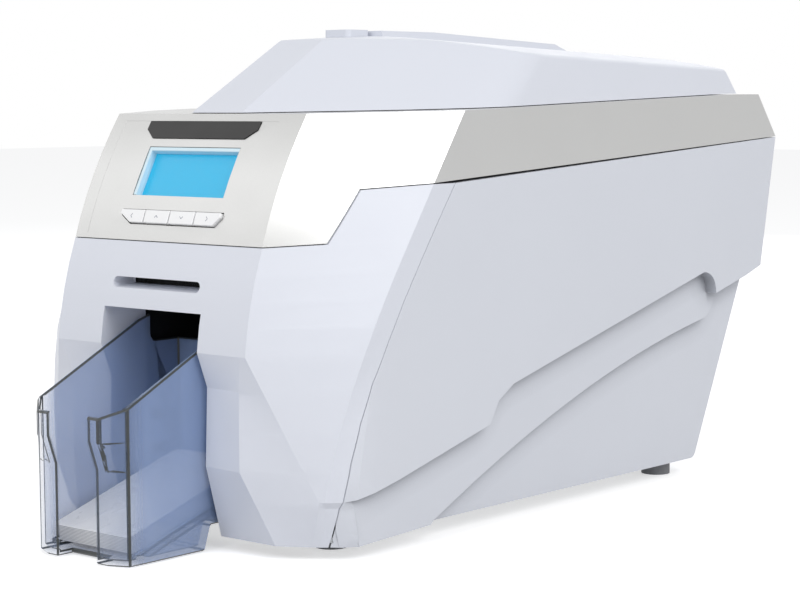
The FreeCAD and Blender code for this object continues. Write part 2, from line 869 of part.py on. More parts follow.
def round_slot(half, low, high):
    """A long round-ended bar through the front, between two heights."""
    radius = (high - low) / 2
    length = S.body_length / 2
    bar = cuboid((radius - half, half - radius), (-S.overrun, length - S.overrun), (low, high))
    for x in (radius - half, half - radius):
        foot = Vector(x, FRONT - S.overrun, low + radius)
        bar = bar.fuse(Part.makeCylinder(radius, length, foot, Vector(0, 1, 0)))
    return bar


def make_front_cover():
    """The white front moulding with its chamfers, card bay and hand-feed slot."""
    region = [(-S.overrun, S.skirt_height - S.seam_gap)]
    region += [(seam_line(-S.seam_gap)[-1][0], S.skirt_height - S.seam_gap)]
    region += list(reversed(seam_line(-S.seam_gap)))
    top = band_line(S.seam_gap)
    seam_top = seam_line(-S.seam_gap)[0]
    region[-1] = (seam_top[0], top[3][1])
    region += [top[3], top[2], top[1], top[0], (-S.overrun, top[0][1])]
    zone = side_prism(region, -S.body_width, S.body_width)
    solid = OUTER.common(zone).cut(INNER)
    wall = S.wall
    high = S.bay_height
    frame = cuboid((-BAY_HALF - wall, BAY_HALF + wall), (-S.overrun, S.bay_return),
                   (S.skirt_height, high + wall))
    solid = solid.fuse(frame.common(OUTER).common(zone))
    slot_half = S.slot_width / 2
    slot_high = S.slot_low_height + S.slot_tall
    box = cuboid((-slot_half - wall, slot_half + wall), (-S.overrun, S.slot_mouth_depth),
                 (S.slot_low_height - wall, slot_high + wall))
    solid = solid.fuse(box.common(OUTER))
    bay = cuboid((-BAY_HALF, BAY_HALF), (-S.overrun, S.bay_return + S.overrun),
                 (-S.overrun, high))
    throat_low = S.slot_low_height + S.slot_rise
    throat = cuboid((-slot_half + S.slot_throat_inset, slot_half - S.slot_throat_inset),
                    (-S.overrun, S.slot_mouth_depth + S.overrun),
                    (throat_low, throat_low + S.slot_throat_tall))
    lip = face_depth(S.slot_low_height)
    back = S.slot_mouth_depth - wall
    mouth = side_prism([(-S.overrun, S.slot_low_height - wall / 2), (lip, S.slot_low_height),
                        (back, throat_low), (back, slot_high), (-S.overrun, slot_high)],
                       -slot_half, slot_half)
    mouth = mouth.common(round_slot(slot_half, S.slot_low_height, slot_high))
    solid = solid.cut(bay).cut(throat).cut(mouth)
    return node(shaped("FrontCover", solid.removeSplitter()), "front_cover")


def make_top_frame():
    """The satin frame: display panel, band round the body and deck under the lid."""
    far = S.overrun + S.body_length
    region = band_line(0.0)
    region[0:0] = [(-S.overrun, S.front_seam_height)]
    region += list(reversed(deck_line(0.0)))[1:]
    rim = between(-S.overrun, S.rim_depth, S.chamfer_top_depth,
                  S.rim_height, S.chamfer_top_height)
    region += [(-S.overrun, rim)]
    zone = side_prism(region, -S.body_width, S.body_width)
    low = S.front_seam_height - S.overrun
    hollow = [(-S.overrun, low), (S.body_length - S.wall, low)]
    hollow += list(reversed(deck_line(S.wall)))
    hollow += [(-S.overrun, rim - S.wall)]
    inside = INNER.common(side_prism(hollow, -S.body_width, S.body_width))
    solid = OUTER.common(zone).cut(inside)
    ledge = S.deck_ledge
    half = S.lid_width / 2 - ledge
    nose = S.lid_nose_width / 2 - ledge / 2
    rear = S.hinge_depth - S.hinge_boss_radius * 3
    hatch = [(-nose, S.lid_nose_depth + ledge * 2), (nose, S.lid_nose_depth + ledge * 2),
             (half, S.lid_shoulder_depth + ledge), (half, rear), (-half, rear),
             (-half, S.lid_shoulder_depth + ledge)]
    solid = solid.cut(plan_prism(hatch, S.front_seam_height, far))
    grow = S.slip
    for side in (-1, 1):
        middle = side * S.hinge_arm_spread
        reach = S.hinge_arm_width / 2 + grow
        notch = cuboid((middle - reach, middle + reach),
                       (rear - S.overrun, S.hinge_depth + S.hinge_boss_radius + grow),
                       (S.front_seam_height, far))
        solid = solid.cut(notch)
    out = S.overrun / 2
    window = rectangle(-DISPLAY_HALF, DISPLAY_HALF, S.display_low_height, DISPLAY_TOP)
    solid = solid.cut(panel_prism(window, -out, out, DISPLAY_SEAT))
    solid = solid.cut(panel_prism(key_row_outline(S.slip / 2), -out, out, KEY_SEAT))
    solid = solid.cut(panel_prism(badge_outline(0.0), -S.badge_sink, out, BADGE_SEAT))
    return node(shaped("TopFrame", solid.removeSplitter()), "silver_top_frame")


TIP_POINTS = 8
STRIP_POINTS = 16


def smooth(points, count):
    """A curve through points of depth and height, as a number of points along it."""
    curve = Part.BSplineCurve()
    curve.interpolate([Vector(depth, height, 0) for depth, height in points])
    return [(point.x, point.y) for point in curve.discretize(Number=count)]


def corner_arc(before, corner, after, radius, count=5):
    """A corner between two points, rounded, as a number of points along its arc."""
    middle = Vector(*corner, 0)
    back = (Vector(*before, 0) - middle).normalize()
    on = (Vector(*after, 0) - middle).normalize()
    half = back.getAngle(on) / 2
    reach = radius / math.tan(half)
    centre = middle + (back + on).normalize() * (radius / math.sin(half))
    crest = centre + (middle - centre).normalize() * radius
    arc = Part.Arc(middle + back * reach, crest, middle + on * reach)
    return [(point.x, point.y) for point in arc.toShape().discretize(count)]


def upper_panel_outline():
    """The side cover's full-width panel, in depths and heights."""
    gap = S.seam_gap
    outline = seam_line(0.0)
    outline += [
        (S.swoosh_low_depth, S.swoosh_low_height),
        (S.swoosh_drop_depth, S.swoosh_drop_height),
        (S.swoosh_bend_depth, S.swoosh_bend_height),
    ]
    outline += smooth([(S.swoosh_top_depth, S.swoosh_top_height), (S.nose_depth, S.nose_height),
                       (S.nub_depth, S.nub_height)], TIP_POINTS)
    outline += [
        (S.rear_under_depth, S.rear_under_height),
        (S.rear_knee_depth, S.rear_knee_height),
        (S.body_length, S.band_rear_height - gap),
    ]
    outline[0] = (outline[0][0], S.band_edge_height - gap)
    return outline


def strip_outline():
    """The recessed strip that runs from the front foot up to its rounded tip."""
    start = seam_line(0.0)[-1][0]
    outline = [
        (start, S.skirt_height), (start, S.chamfer_foot_height),
        (S.swoosh_low_depth, S.swoosh_low_height),
        (S.swoosh_drop_depth, S.swoosh_drop_height),
        (S.swoosh_bend_depth, S.swoosh_bend_height),
    ]
    end = (S.strip_end_depth, S.strip_end_height)
    outline += smooth([
        (S.swoosh_top_depth, S.swoosh_top_height), (S.tip_high_depth, S.tip_high_height),
        (S.tip_depth, S.tip_height), (S.tip_low_depth, S.tip_low_height), end,
    ], TIP_POINTS * 2)
    outline += smooth([
        end, (S.strip_mid_depth, S.strip_mid_height), (S.strip_near_depth, S.strip_near_height),
        (S.strip_toe_depth, S.strip_toe_height),
    ], STRIP_POINTS)[1:]
    return outline + [(S.strip_toe_depth - S.wall, S.base_height)]


def heel_line(inset):
    """The lower rear in side view: a slope down to a rounded heel."""
    rear = (S.base_rear_depth - inset, S.base_rear_height)
    heel = (S.base_heel_depth - inset, S.base_height + inset)
    under = (heel[0] - S.overrun, heel[1])
    return [rear] + corner_arc(rear, heel, under, S.heel_radius - inset)


def lower_outline():
    """The innermost skin, from the strip down to the ground edge and back to the heel."""
    start = seam_line(0.0)[-1][0]
    return [
        (start, S.base_height), (start, S.chamfer_foot_height),
        (S.swoosh_low_depth, S.swoosh_low_height), (S.swoosh_bend_depth, S.swoosh_bend_height),
        (S.nub_depth, S.nub_height + S.wall), (S.rear_under_depth, S.rear_under_height + S.wall),
    ] + heel_line(0.0)


def side_cover_shape():
    """The right side cover: one moulding on three levels, with a rim all round."""
    levels = [(upper_panel_outline(), HALF), (strip_outline(), S.strip_level),
              (lower_outline(), S.base_level)]
    solid, hollows = None, []
    for outline, level in levels:
        slab = side_prism(outline, S.cover_root, level)
        solid = slab if solid is None else solid.fuse(slab)
        points = [Vector(0, FRONT + depth, height) for depth, height in outline]
        inner = Part.makePolygon(points + points[:1]).makeOffset2D(-S.wall, 2)
        hollow = Part.Face(inner).extrude(Vector(level - S.wall, 0, 0))
        if level - S.wall > S.cover_root + S.seam_gap:
            hollows.append(hollow.common(INNER))
    solid = solid.common(OUTER)
    for hollow in hollows:
        solid = solid.cut(hollow)
    return solid.removeSplitter()


def make_side_covers():
    """Two side covers, the left a mirror of the right."""
    right = side_cover_shape()
    left = right.mirror(Vector(), Vector(1, 0, 0))
    node(shaped("RightSideCover", right), "right_side_cover")
    node(shaped("LeftSideCover", left), "left_side_cover")


def rear_line(inset):
    """The rear end in side view, from the band down to the base."""
    return [
        (S.body_length - inset, S.band_rear_height - S.seam_gap),
        (S.rear_knee_depth - inset, S.rear_knee_height),
    ] + heel_line(inset)


def make_rear_panel():
    """The rear panel, with its window for the socket pocket and a row of air slots."""
    half = S.cover_root - S.seam_gap
    outline = rear_line(0.0) + list(reversed(rear_line(S.wall)))
    solid = side_prism(outline, -half, half)
    window = cuboid((-S.pocket_width / 2, S.pocket_width / 2),
                    (S.pocket_depth - S.overrun, S.body_length),
                    (S.pocket_low_height, S.pocket_high_height))
    solid = solid.cut(window)
    for index in range(AIR_SLOT_COUNT):
        low = S.rear_knee_height + S.overrun / 2 + S.wall * 2 * index
        for side in (-1, 1):
            middle = side * half / 2
            slot = cuboid((middle - half / 4, middle + half / 4),
                          (S.rear_under_depth, S.body_length + S.overrun),
                          (low, low + S.wall))
            solid = solid.cut(slot)
    return node(shaped("RearPanel", solid), "rear_panel")


def make_socket_pocket():
    """The recessed metal pocket in the rear panel that the sockets show in."""
    wall = S.pocket_wall
    half = S.pocket_width / 2 - S.seam_gap
    low, high = S.pocket_low_height + S.seam_gap, S.pocket_high_height - S.seam_gap

    def slope(height):
        return between(height, S.base_height, S.base_rear_height,
                       S.base_heel_depth, S.base_rear_depth)

    outer = side_prism([(S.pocket_depth - wall, low), (slope(low), low),
                        (slope(high), high), (S.pocket_depth - wall, high)], -half, half)
    inner = cuboid((-half + wall, half - wall), (S.pocket_depth, S.body_length),
                   (low + wall, high - wall))
    solid = outer.cut(inner)
    floor = S.board_height + S.board_thick
    holes = [
        (S.network_offset, S.network_width, floor, S.network_tall),
        (S.usb_offset, S.usb_width, floor, S.usb_tall),
        (S.inlet_offset, S.inlet_width, floor, S.inlet_tall),
        (S.switch_offset, S.switch_width - 2 * S.switch_rim, S.switch_height - S.switch_tall / 2
         + S.switch_rim, S.switch_tall - 2 * S.switch_rim),
    ]
    for middle, width, bottom, tall in holes:
        hole = cuboid((middle - width / 2 - S.slip / 2, middle + width / 2 + S.slip / 2),
                      (S.pocket_depth - S.overrun, S.pocket_depth + wall),
                      (bottom - S.slip / 2, bottom + tall + S.slip / 2))
        solid = solid.cut(hole)
    return node(shaped("SocketPocket", solid), "socket_pocket")


def make_base():
    """The folded steel base plate and its four rubber feet."""
    half = "base_plate_width / 2"
    y = ("front_plane + base_plate_front_depth", "front_plane + base_plate_rear_depth")
    floor = block("BaseFloor", (f"-{half}", half), y,
                  ("base_height", "base_height + sheet_thick"))
    flanges = []
    for name, low, high in (("BaseLeft", f"-{half}", f"-{half} + sheet_thick"),
                            ("BaseRight", f"{half} - sheet_thick", half)):
        flanges.append(block(name, (low, high), y,
                             ("base_height", "base_height + base_flange_tall")))
    posts = []
    for side in ("-1", "1"):
        for depth in ("board_front_depth + gear_width", "board_rear_depth - bay_return"):
            posts.append(peg("BoardPost", "shaft_radius",
                             f"{side} * (board_width / 2 - gear_width)",
                             f"front_plane + {depth}",
                             ("base_height", "board_height")))
    holes = [peg("ScrewHole", "screw_shank_radius + running_fit", f"{side} * screw_spread",
                 f"front_plane + {depth}", ("base_height - wall", "base_height + overrun"))
             for side in ("-1", "1") for depth in ("screw_front_depth", "screw_rear_depth")]
    plate = fused("BasePlateBlank", floor, *flanges, *posts)
    node(cut("BasePlate", plate, *holes), "base_plate")
    feet = []
    for side in ("-1", "1"):
        for end in ("front", "rear"):
            feet.append(peg("Foot", "foot_radius", f"{side} * foot_{end}_spacing / 2",
                            f"front_plane + foot_{end}_depth", ("0", "base_height")))
    node(group("RubberFeet", *feet), "rubber_feet")


# Display panel


def make_display():
    """The badge plate, and the display's bezel, screen and window in the frame's opening."""
    gap = S.slip / 2
    low = gap - S.badge_sink
    plate = panel_prism(badge_outline(gap), low, low + S.badge_thick, BADGE_SEAT)
    node(shaped("BadgePlate", plate), "badge_plate")
    half, rim = DISPLAY_HALF - gap, S.bezel_rim
    bottom, top = S.display_low_height + gap, DISPLAY_TOP - gap
    outer = panel_prism(rectangle(-half, half, bottom, top), -BEZEL_DEEP, -S.bezel_sink,
                        DISPLAY_SEAT)
    flange = panel_prism(rectangle(-half - rim, half + rim, bottom - rim, top + rim),
                         -BEZEL_DEEP, -S.wall - S.bezel_sink - gap, DISPLAY_SEAT)
    seat = panel_prism(rectangle(rim - half, half, bottom, top - rim), -BEZEL_DEEP, S.overrun,
                       DISPLAY_SEAT)
    node(shaped("DisplayBezel", outer.fuse(flange).cut(seat).removeSplitter()), "display_bezel")
    view = rectangle(rim + gap - half, half - gap, bottom + gap, top - rim - gap)
    front = -S.display_recess
    back = front - S.window_thick
    node(shaped("DisplayWindow", panel_prism(view, back, front, DISPLAY_SEAT)), "display_window")
    cell = panel_prism(view, back - gap - S.screen_thick, back - gap, DISPLAY_SEAT)
    node(shaped("DisplayScreen", cell), "display_screen")


def make_keys():
    """Four separate keys with stems, over one key board that clips to the display's bezel."""
    stem_half = S.key_tall / 4
    stem_end = -S.wall - S.key_stem_tall
    row = panel_prism(key_row_outline(-S.key_gap / 2), -S.wall, S.key_proud, KEY_SEAT)
    reach = []
    for index in range(KEY_COUNT):
        left = KEY_PITCH * index - KEY_ROW_HALF
        middle = left + KEY_PITCH / 2
        share = rectangle(left + S.key_gap / 2, left + KEY_PITCH - S.key_gap / 2,
                          S.key_low_height - S.overrun, S.key_low_height + S.overrun)
        cap = row.common(panel_prism(share, -S.overrun, S.overrun, KEY_SEAT))
        stem = rectangle(middle - stem_half, middle + stem_half,
                         KEY_SEAT - stem_half, KEY_SEAT + stem_half)
        reach += [panel_point(x, up, stem_end, KEY_SEAT) for x, up in stem]
        stem = panel_prism(stem, stem_end, -S.wall, KEY_SEAT)
        name = f"menu_key_{index + 1}"
        node(shaped(f"MenuKey{index + 1}", cap.fuse(stem).removeSplitter()), name)
    foot, _, out_way = panel_frame(DISPLAY_SEAT)
    lowest = min((point - foot).dot(out_way) for point in reach)
    top = lowest - S.key_travel - S.slip
    half = DISPLAY_HALF + S.bezel_rim
    low = S.key_low_height - S.bezel_rim * 2
    board = panel_prism(rectangle(-half, half, low, DISPLAY_TOP + S.bezel_rim),
                        top - S.board_thick, top, DISPLAY_SEAT)
    for side in (-half, half - S.bezel_rim):
        clip = rectangle(side, side + S.bezel_rim, S.display_low_height, DISPLAY_TOP)
        board = board.fuse(panel_prism(clip, top, -BEZEL_DEEP - S.slip / 2, DISPLAY_SEAT))
    return node(shaped("KeyBoard", board.removeSplitter()), "key_board")


# Lid


ARM_OVER_SHARES = (0.8, 0.6)
ARM_UNDER_SHARES = (0.9, 0.5)


def make_lid():
    """The white lid, hollow, with its spine, button well and two hinge arms."""
    solid = lid_block(0.0)
    solid = fillet_where(solid, S.lid_edge_radius, lid_crown_edge)
    solid = solid.fuse(spine_block(0.0))
    inside = lid_block(S.wall).fuse(spine_block(S.wall))
    gap = S.slip
    under = [(-S.overrun, S.rim_height - S.overrun), (-S.overrun, S.rim_height + gap),
             (S.rim_depth, S.rim_height + gap),
             (S.chamfer_top_depth, S.chamfer_top_height + gap),
             (S.deck_level_depth, S.deck_rear_height + gap),
             (S.body_length, S.deck_rear_height + gap),
             (S.body_length, S.rim_height - S.overrun)]
    below = side_prism(under, -S.body_width, S.body_width)
    solid = solid.cut(inside).cut(below)
    front, rear = S.button_front_depth, S.button_front_depth + S.button_length
    half = S.button_width / 2
    high = S.spine_height + S.overrun
    low = S.latch_bar_height + S.button_travel + S.latch_thick + gap
    well = cuboid((-half - S.wall, half + S.wall), (front - S.wall, rear + S.wall),
                  (low, S.lid_crest_height - S.wall))
    hole = rounded_box((-half - gap / 2, half + gap / 2), (front - gap / 2, rear + gap / 2),
                       (S.rim_height, high), S.button_corner)
    channel = S.latch_width / 2 + S.seat_gap
    span = (S.cradle_front_depth, S.cradle_rear_depth)
    cradle = cuboid((-channel - S.sheet_thick, channel + S.sheet_thick), span,
                    (S.latch_bar_height - S.seat_gap - S.sheet_thick,
                     S.lid_side_height + S.wall))
    room = cuboid((-channel, channel), span,
                  (S.latch_bar_height - S.seat_gap, S.lid_side_height + S.wall))
    for side in (-1, 1):
        low, high = sorted((side * channel, side * (channel + S.sheet_thick)))
        post = cuboid((low, high), span, (S.lid_side_height, S.lid_crest_height))
        cradle = cradle.fuse(post.common(lid_block(S.wall / 2)))
    solid = solid.fuse(well).cut(hole).fuse(cradle.cut(room))
    boss = S.hinge_boss_radius
    for side in (-1, 1):
        middle = side * S.hinge_arm_spread
        low_x, high_x = middle - S.hinge_arm_width / 2, middle + S.hinge_arm_width / 2
        high, low = S.lid_side_height - S.wall * 3, S.deck_rear_height + gap * 2
        root = lid_rear(high) - S.wall * 3
        arm = side_prism([
            (root, low + S.wall), (lid_rear(high) - S.wall / 2, high),
            (lid_rear(low) - S.wall / 2, low),
            (S.hinge_depth + boss * ARM_OVER_SHARES[0], S.hinge_height + boss * ARM_OVER_SHARES[1]),
            (S.hinge_depth, S.hinge_height - boss),
            (S.hinge_depth - boss * ARM_UNDER_SHARES[0], S.hinge_height - boss * ARM_UNDER_SHARES[1]),
            (root, S.hinge_height + boss / 2),
        ], low_x, high_x)
        knuckle = Part.makeCylinder(boss, S.hinge_arm_width,
                                    Vector(low_x, FRONT + S.hinge_depth, S.hinge_height),
                                    Vector(1, 0, 0))
        bore = Part.makeCylinder(S.hinge_pin_radius + S.running_fit, S.hinge_arm_width * 2,
                                 Vector(low_x - S.hinge_arm_width / 2, FRONT + S.hinge_depth,
                                        S.hinge_height), Vector(1, 0, 0))
        solid = solid.fuse(arm.fuse(knuckle)).cut(bore)
    return node(shaped("LidShell", solid.removeSplitter()), "lid_shell")


def lid_crown_edge(edge):
    """True for the edges round the lid's top, other than the rear one and the crown's peak."""
    box = edge.BoundBox
    across = box.YLength < S.wall * 2 and box.XLength > S.lid_crest_width * 2
    flat = box.ZLength < box.DiagonalLength / 4
    return box.ZMin > S.lid_side_height - S.wall and flat and not across


def make_button_and_latch():
    """The release button in its well and the sliding latch under it."""
    front, half = S.button_front_depth, S.button_width / 2
    top = S.spine_height + S.button_proud
    cap = rounded_box((-half, half), (front, front + S.button_length),
                      (top - S.button_tall, top), S.button_corner - S.slip / 2)
    foot_low = S.latch_bar_height + S.latch_thick + S.seat_gap + S.button_travel
    stem = cuboid((-half / 3, half / 3), (front + half / 2, front + S.button_length - half / 2),
                  (foot_low, top - S.button_tall))
    node(shaped("ReleaseButton", cap.fuse(stem).removeSplitter()), "release_button")
    width = S.latch_width / 2
    thick = S.latch_thick
    toe, heel = S.latch_toe_depth, S.latch_heel_depth
    bar = S.latch_bar_height
    low = S.latch_toe_height
    outline = [(toe, bar + thick), (heel, bar + thick), (heel, bar), (toe + thick, bar),
               (toe + thick, low), (toe - thick * 2, low), (toe - thick, low + thick * 2),
               (toe, low + thick * 2)]
    node(shaped("LatchHook", side_prism(outline, -width, width)), "latch_hook")


def make_hinge():
    """The two hinge pins, and the brackets on the frame that hold them."""
    reach = "hinge_arm_width / 2 + slip + bracket_thick"
    pins, brackets = [], []
    for side in ("-1", "1"):
        middle = f"{side} * hinge_arm_spread"
        pins.append(rod("HingePin", "hinge_pin_radius",
                        (f"{middle} - ({reach})", f"{middle} + ({reach})"),
                        "front_plane + hinge_depth", "hinge_height"))
        cheeks = []
        for way in ("-1", "1"):
            inner = f"{middle} + {way} * (hinge_arm_width / 2 + slip + bracket_thick / 2)"
            cheek = block("HingeCheek",
                          (f"{inner} - bracket_thick / 2", f"{inner} + bracket_thick / 2"),
                          ("front_plane + hinge_depth - hinge_boss_radius",
                           "front_plane + hinge_depth + bracket_reach"),
                          ("hinge_height - overrun",
                           "deck_rear_height - wall - seat_gap"))
            hole = rod("CheekHole", "hinge_pin_radius + running_fit",
                       (f"{inner} - bracket_thick", f"{inner} + bracket_thick"),
                       "front_plane + hinge_depth", "hinge_height")
            cheeks.append(cut("Cheek", cheek, hole))
        foot = block("HingeFoot", (f"{middle} - ({reach})", f"{middle} + ({reach})"),
                     ("front_plane + hinge_depth - hinge_boss_radius",
                      "front_plane + hinge_depth + bracket_reach"),
                     ("hinge_height - overrun - bracket_thick", "hinge_height - overrun"))
        brackets.append(fused("HingeBracket", *cheeks, foot))
    node(group("HingePins", *pins), "lid_hinge_pins")
    node(group("HingeBrackets", *brackets), "lid_hinge_brackets")


# Steel frame and card path


def sketched_plate(name, outline, holes, thickness, x):
    """A sheet plate as a body: a sketched profile in the YZ plane, padded, and pocketed."""
    body = doc.addObject("PartDesign::Body", name)
    plane = next(item for item in body.Origin.OriginFeatures if item.Role == "YZ_Plane")
    sketch = body.newObject("Sketcher::SketchObject", name + "Profile")
    sketch.AttachmentSupport = [(plane, "")]
    sketch.MapMode = "FlatFace"
    points = [Vector(across, up, 0) for across, up in outline]
    for start, end in zip(points, points[1:] + points[:1]):
        sketch.addGeometry(Part.LineSegment(start, end), False)
    count = len(points)
    for index in range(count):
        sketch.addConstraint(Sketcher.Constraint("Coincident", index, 2, (index + 1) % count, 1))
    pad = body.newObject("PartDesign::Pad", name + "Pad")
    pad.Profile = sketch
    pad.setExpression("Length", bound(thickness))
    doc.recompute()
    drill = body.newObject("Sketcher::SketchObject", name + "Holes")
    drill.AttachmentSupport = [(plane, "")]
    drill.MapMode = "FlatFace"
    for across, up, radius in holes:
        centre = Vector(across, up, 0)
        drill.addGeometry(Part.Circle(centre, Vector(0, 0, 1), radius), False)
    pocket = body.newObject("PartDesign::Pocket", name + "Pocket")
    pocket.Profile = drill
    pocket.Type = "ThroughAll"
    pocket.Midplane = True
    body.Tip = pocket
    body.setExpression("Placement.Base.x", bound(x))
    return body


ROLLER_HEIGHT = S.path_height - S.roller_radius
GEAR_RADIUS = S.gear_module * DRIVE_GEAR_TEETH / 2
IDLER_CENTRES = S.gear_module * (DRIVE_GEAR_TEETH + IDLER_TEETH) / 2 + S.gear_slack
PICK_CENTRES = S.gear_module * (DRIVE_GEAR_TEETH + PICK_TEETH) / 2 + S.gear_slack
PINION_CENTRES = S.gear_module * (DRIVE_GEAR_TEETH + PINION_TEETH) / 2 + S.gear_slack
FEED_DEPTH = S.platen_depth - 2 * IDLER_CENTRES
REAR_DEPTH = S.platen_depth + 2 * IDLER_CENTRES
PICK_ANGLE = math.radians(PICK_DIRECTION_DEGREES)
PICK_DEPTH = FEED_DEPTH + PICK_CENTRES * math.cos(PICK_ANGLE)
PICK_HEIGHT = ROLLER_HEIGHT + PICK_CENTRES * math.sin(PICK_ANGLE)
MOTOR_HEIGHT = ROLLER_HEIGHT - PINION_CENTRES
SHAFTS = {
    "pick": (PICK_DEPTH, PICK_HEIGHT),
    "feed": (FEED_DEPTH, ROLLER_HEIGHT),
    "cleaner": (S.cleaner_depth, ROLLER_HEIGHT),
    "platen": (S.platen_depth, ROLLER_HEIGHT),
    "rear": (REAR_DEPTH, ROLLER_HEIGHT),
}
BARS = {
    "front": (S.plate_front_depth + S.gear_width + S.bar_radius, S.path_height + S.overrun),
    "rear": (S.plate_rear_depth - S.overrun, S.spool_height - S.overrun),
    "low": (S.plate_rear_depth - S.overrun, S.pocket_high_height + S.gear_width),
    "middle": (S.cleaner_depth - S.overrun, S.ledge_height + S.overrun),
}


def plate_outline():
    """One chassis plate in side view, with open slots at the top for the spool journals."""
    foot = S.base_height + S.sheet_thick + S.seat_gap
    top = S.plate_top_height
    slot = S.journal_radius + S.running_fit
    points = [(S.plate_front_depth, foot), (S.plate_rear_depth - S.overrun * 2, foot),
              (S.plate_rear_depth, S.board_height), (S.plate_rear_depth, S.spool_height),
              (S.plate_rear_depth - S.overrun, top)]
    for depth in (S.supply_depth, S.take_up_depth):
        points += [(depth + slot, top), (depth + slot, S.spool_height - slot),
                   (depth - slot, S.spool_height - slot), (depth - slot, top)]
    points += [(S.plate_front_depth + S.overrun, top), (S.plate_front_depth, S.spool_height - S.overrun)]
    return [(FRONT + depth, height) for depth, height in points]


def make_chassis():
    """Two steel plates joined by cross bars, with bushes for the roller shafts."""
    holes = [(FRONT + depth, height, S.bush_radius + S.running_fit)
             for depth, height in SHAFTS.values()]
    holes += [(FRONT + depth, height, S.bar_radius + S.running_fit)
              for depth, height in BARS.values()]
    studs = [(FRONT + S.platen_depth + side * IDLER_CENTRES, ROLLER_HEIGHT,
              S.stud_radius + S.running_fit) for side in (-1, 1)]
    motor = [(FRONT + S.platen_depth, MOTOR_HEIGHT, S.motor_boss_radius + S.running_fit)]
    node(sketched_plate("LeftPlate", plate_outline(), holes, "sheet_thick",
                        "-plate_spread - sheet_thick"), "left_chassis_plate")
    node(sketched_plate("RightPlate", plate_outline(), holes + studs + motor, "sheet_thick",
                        "plate_spread"), "right_chassis_plate")
    floor = S.base_height + S.sheet_thick
    outer = S.plate_spread + S.sheet_thick
    brackets = []
    for side in (-1, 1):
        for depth in (S.screw_front_depth, S.screw_rear_depth):
            span = (depth - S.bracket_foot_length / 2, depth + S.bracket_foot_length / 2)
            flat = sorted((side * outer, side * (outer + S.bracket_foot_reach)))
            wall = sorted((side * outer, side * (outer + S.sheet_thick)))
            angle = cuboid(flat, span, (floor, floor + S.sheet_thick))
            angle = angle.fuse(cuboid(wall, span, (floor, floor + S.bracket_foot_tall)))
            at = Vector(side * S.screw_spread, FRONT + depth, S.base_height)
            tapped = Part.makeCylinder(S.screw_shank_radius, S.overrun, at)
            brackets.append(angle.cut(tapped))
    node(shaped("AngleBrackets", Part.makeCompound(brackets)), "chassis_brackets")
    bars = []
    reach = S.plate_spread + S.sheet_thick
    for depth, height in BARS.values():
        bar = Part.makeCylinder(S.bar_radius, 2 * reach, Vector(-reach, FRONT + depth, height),
                                Vector(1, 0, 0))
        bars.append(bar)
    node(shaped("CrossBars", Part.makeCompound(bars)), "cross_bars")
    bushes = []
    for depth, height in SHAFTS.values():
        for side in (-1, 1):
            start = side * S.plate_spread if side > 0 else -S.plate_spread - S.sheet_thick
            at = Vector(start, FRONT + depth, height)
            ring = Part.makeCylinder(S.bush_radius, S.sheet_thick, at, Vector(1, 0, 0))
            bore = Part.makeCylinder(S.shaft_radius + S.running_fit, S.sheet_thick, at,
                                     Vector(1, 0, 0))
            bushes.append(ring.cut(bore))
    node(shaped("ShaftBushes", Part.makeCompound(bushes)), "shaft_bushes")
    studs = []
    gear_end = reach + S.gear_stand_off + S.gear_width + S.seat_gap
    for side in (-1, 1):
        at = Vector(S.plate_spread, FRONT + S.platen_depth + side * IDLER_CENTRES, ROLLER_HEIGHT)
        stud = Part.makeCylinder(S.stud_radius, gear_end - S.plate_spread, at, Vector(1, 0, 0))
        shoulder = Part.makeCylinder(S.bush_radius, S.gear_stand_off - S.seat_gap,
                                     at + Vector(S.sheet_thick, 0, 0), Vector(1, 0, 0))
        studs.append(stud.fuse(shoulder))
    node(shaped("GearStuds", Part.makeCompound(studs)), "gear_studs")


def make_rails():
    """Two plastic rails that guide the edges of a card along the path."""
    rails = []
    half = S.card_width / 2
    lip = S.gear_module
    for side in (-1, 1):
        near, far = half - lip, S.plate_spread - S.seat_gap
        low, high = S.path_height - S.rail_under_tall, S.path_height + S.path_gap + S.rail_over_tall
        xs = (near, far) if side > 0 else (-far, -near)
        rail = cuboid(xs, (S.rail_front_depth, S.rail_rear_depth), (low, high))
        groove_x = (near - lip, half + S.slip) if side > 0 else (-half - S.slip, -near + lip)
        groove = cuboid(groove_x, (S.rail_front_depth - S.overrun, S.rail_rear_depth + S.overrun),
                        (S.path_height, S.path_height + S.path_gap))
        rail = rail.cut(groove)
        inner = (near - lip, S.roller_width / 2 + lip * 2)
        xs = inner if side > 0 else (-inner[1], -inner[0])
        for depth in (FEED_DEPTH, S.cleaner_depth, S.platen_depth, REAR_DEPTH):
            reach = S.roller_radius + lip
            rail = rail.cut(cuboid(xs, (depth - reach, depth + reach),
                                   (low - lip, S.path_height)))
        over = (S.film_low_front_depth - lip * 4, S.film_low_rear_depth + lip * 4)
        rail = rail.cut(cuboid(xs, over, (S.path_height + S.path_gap - lip / 2, high + lip)))
        rails.append(rail)
    node(shaped("GuideRails", Part.makeCompound(rails)), "card_guide_rails")


TIP_MODULES = 0.8
ROOT_MODULES = 1.15
ROOT_SHARE = 1.05
LAST_ROOT_SHARE = 0.95
PITCH_SHARE = 0.5
TIP_SHARE = 0.24


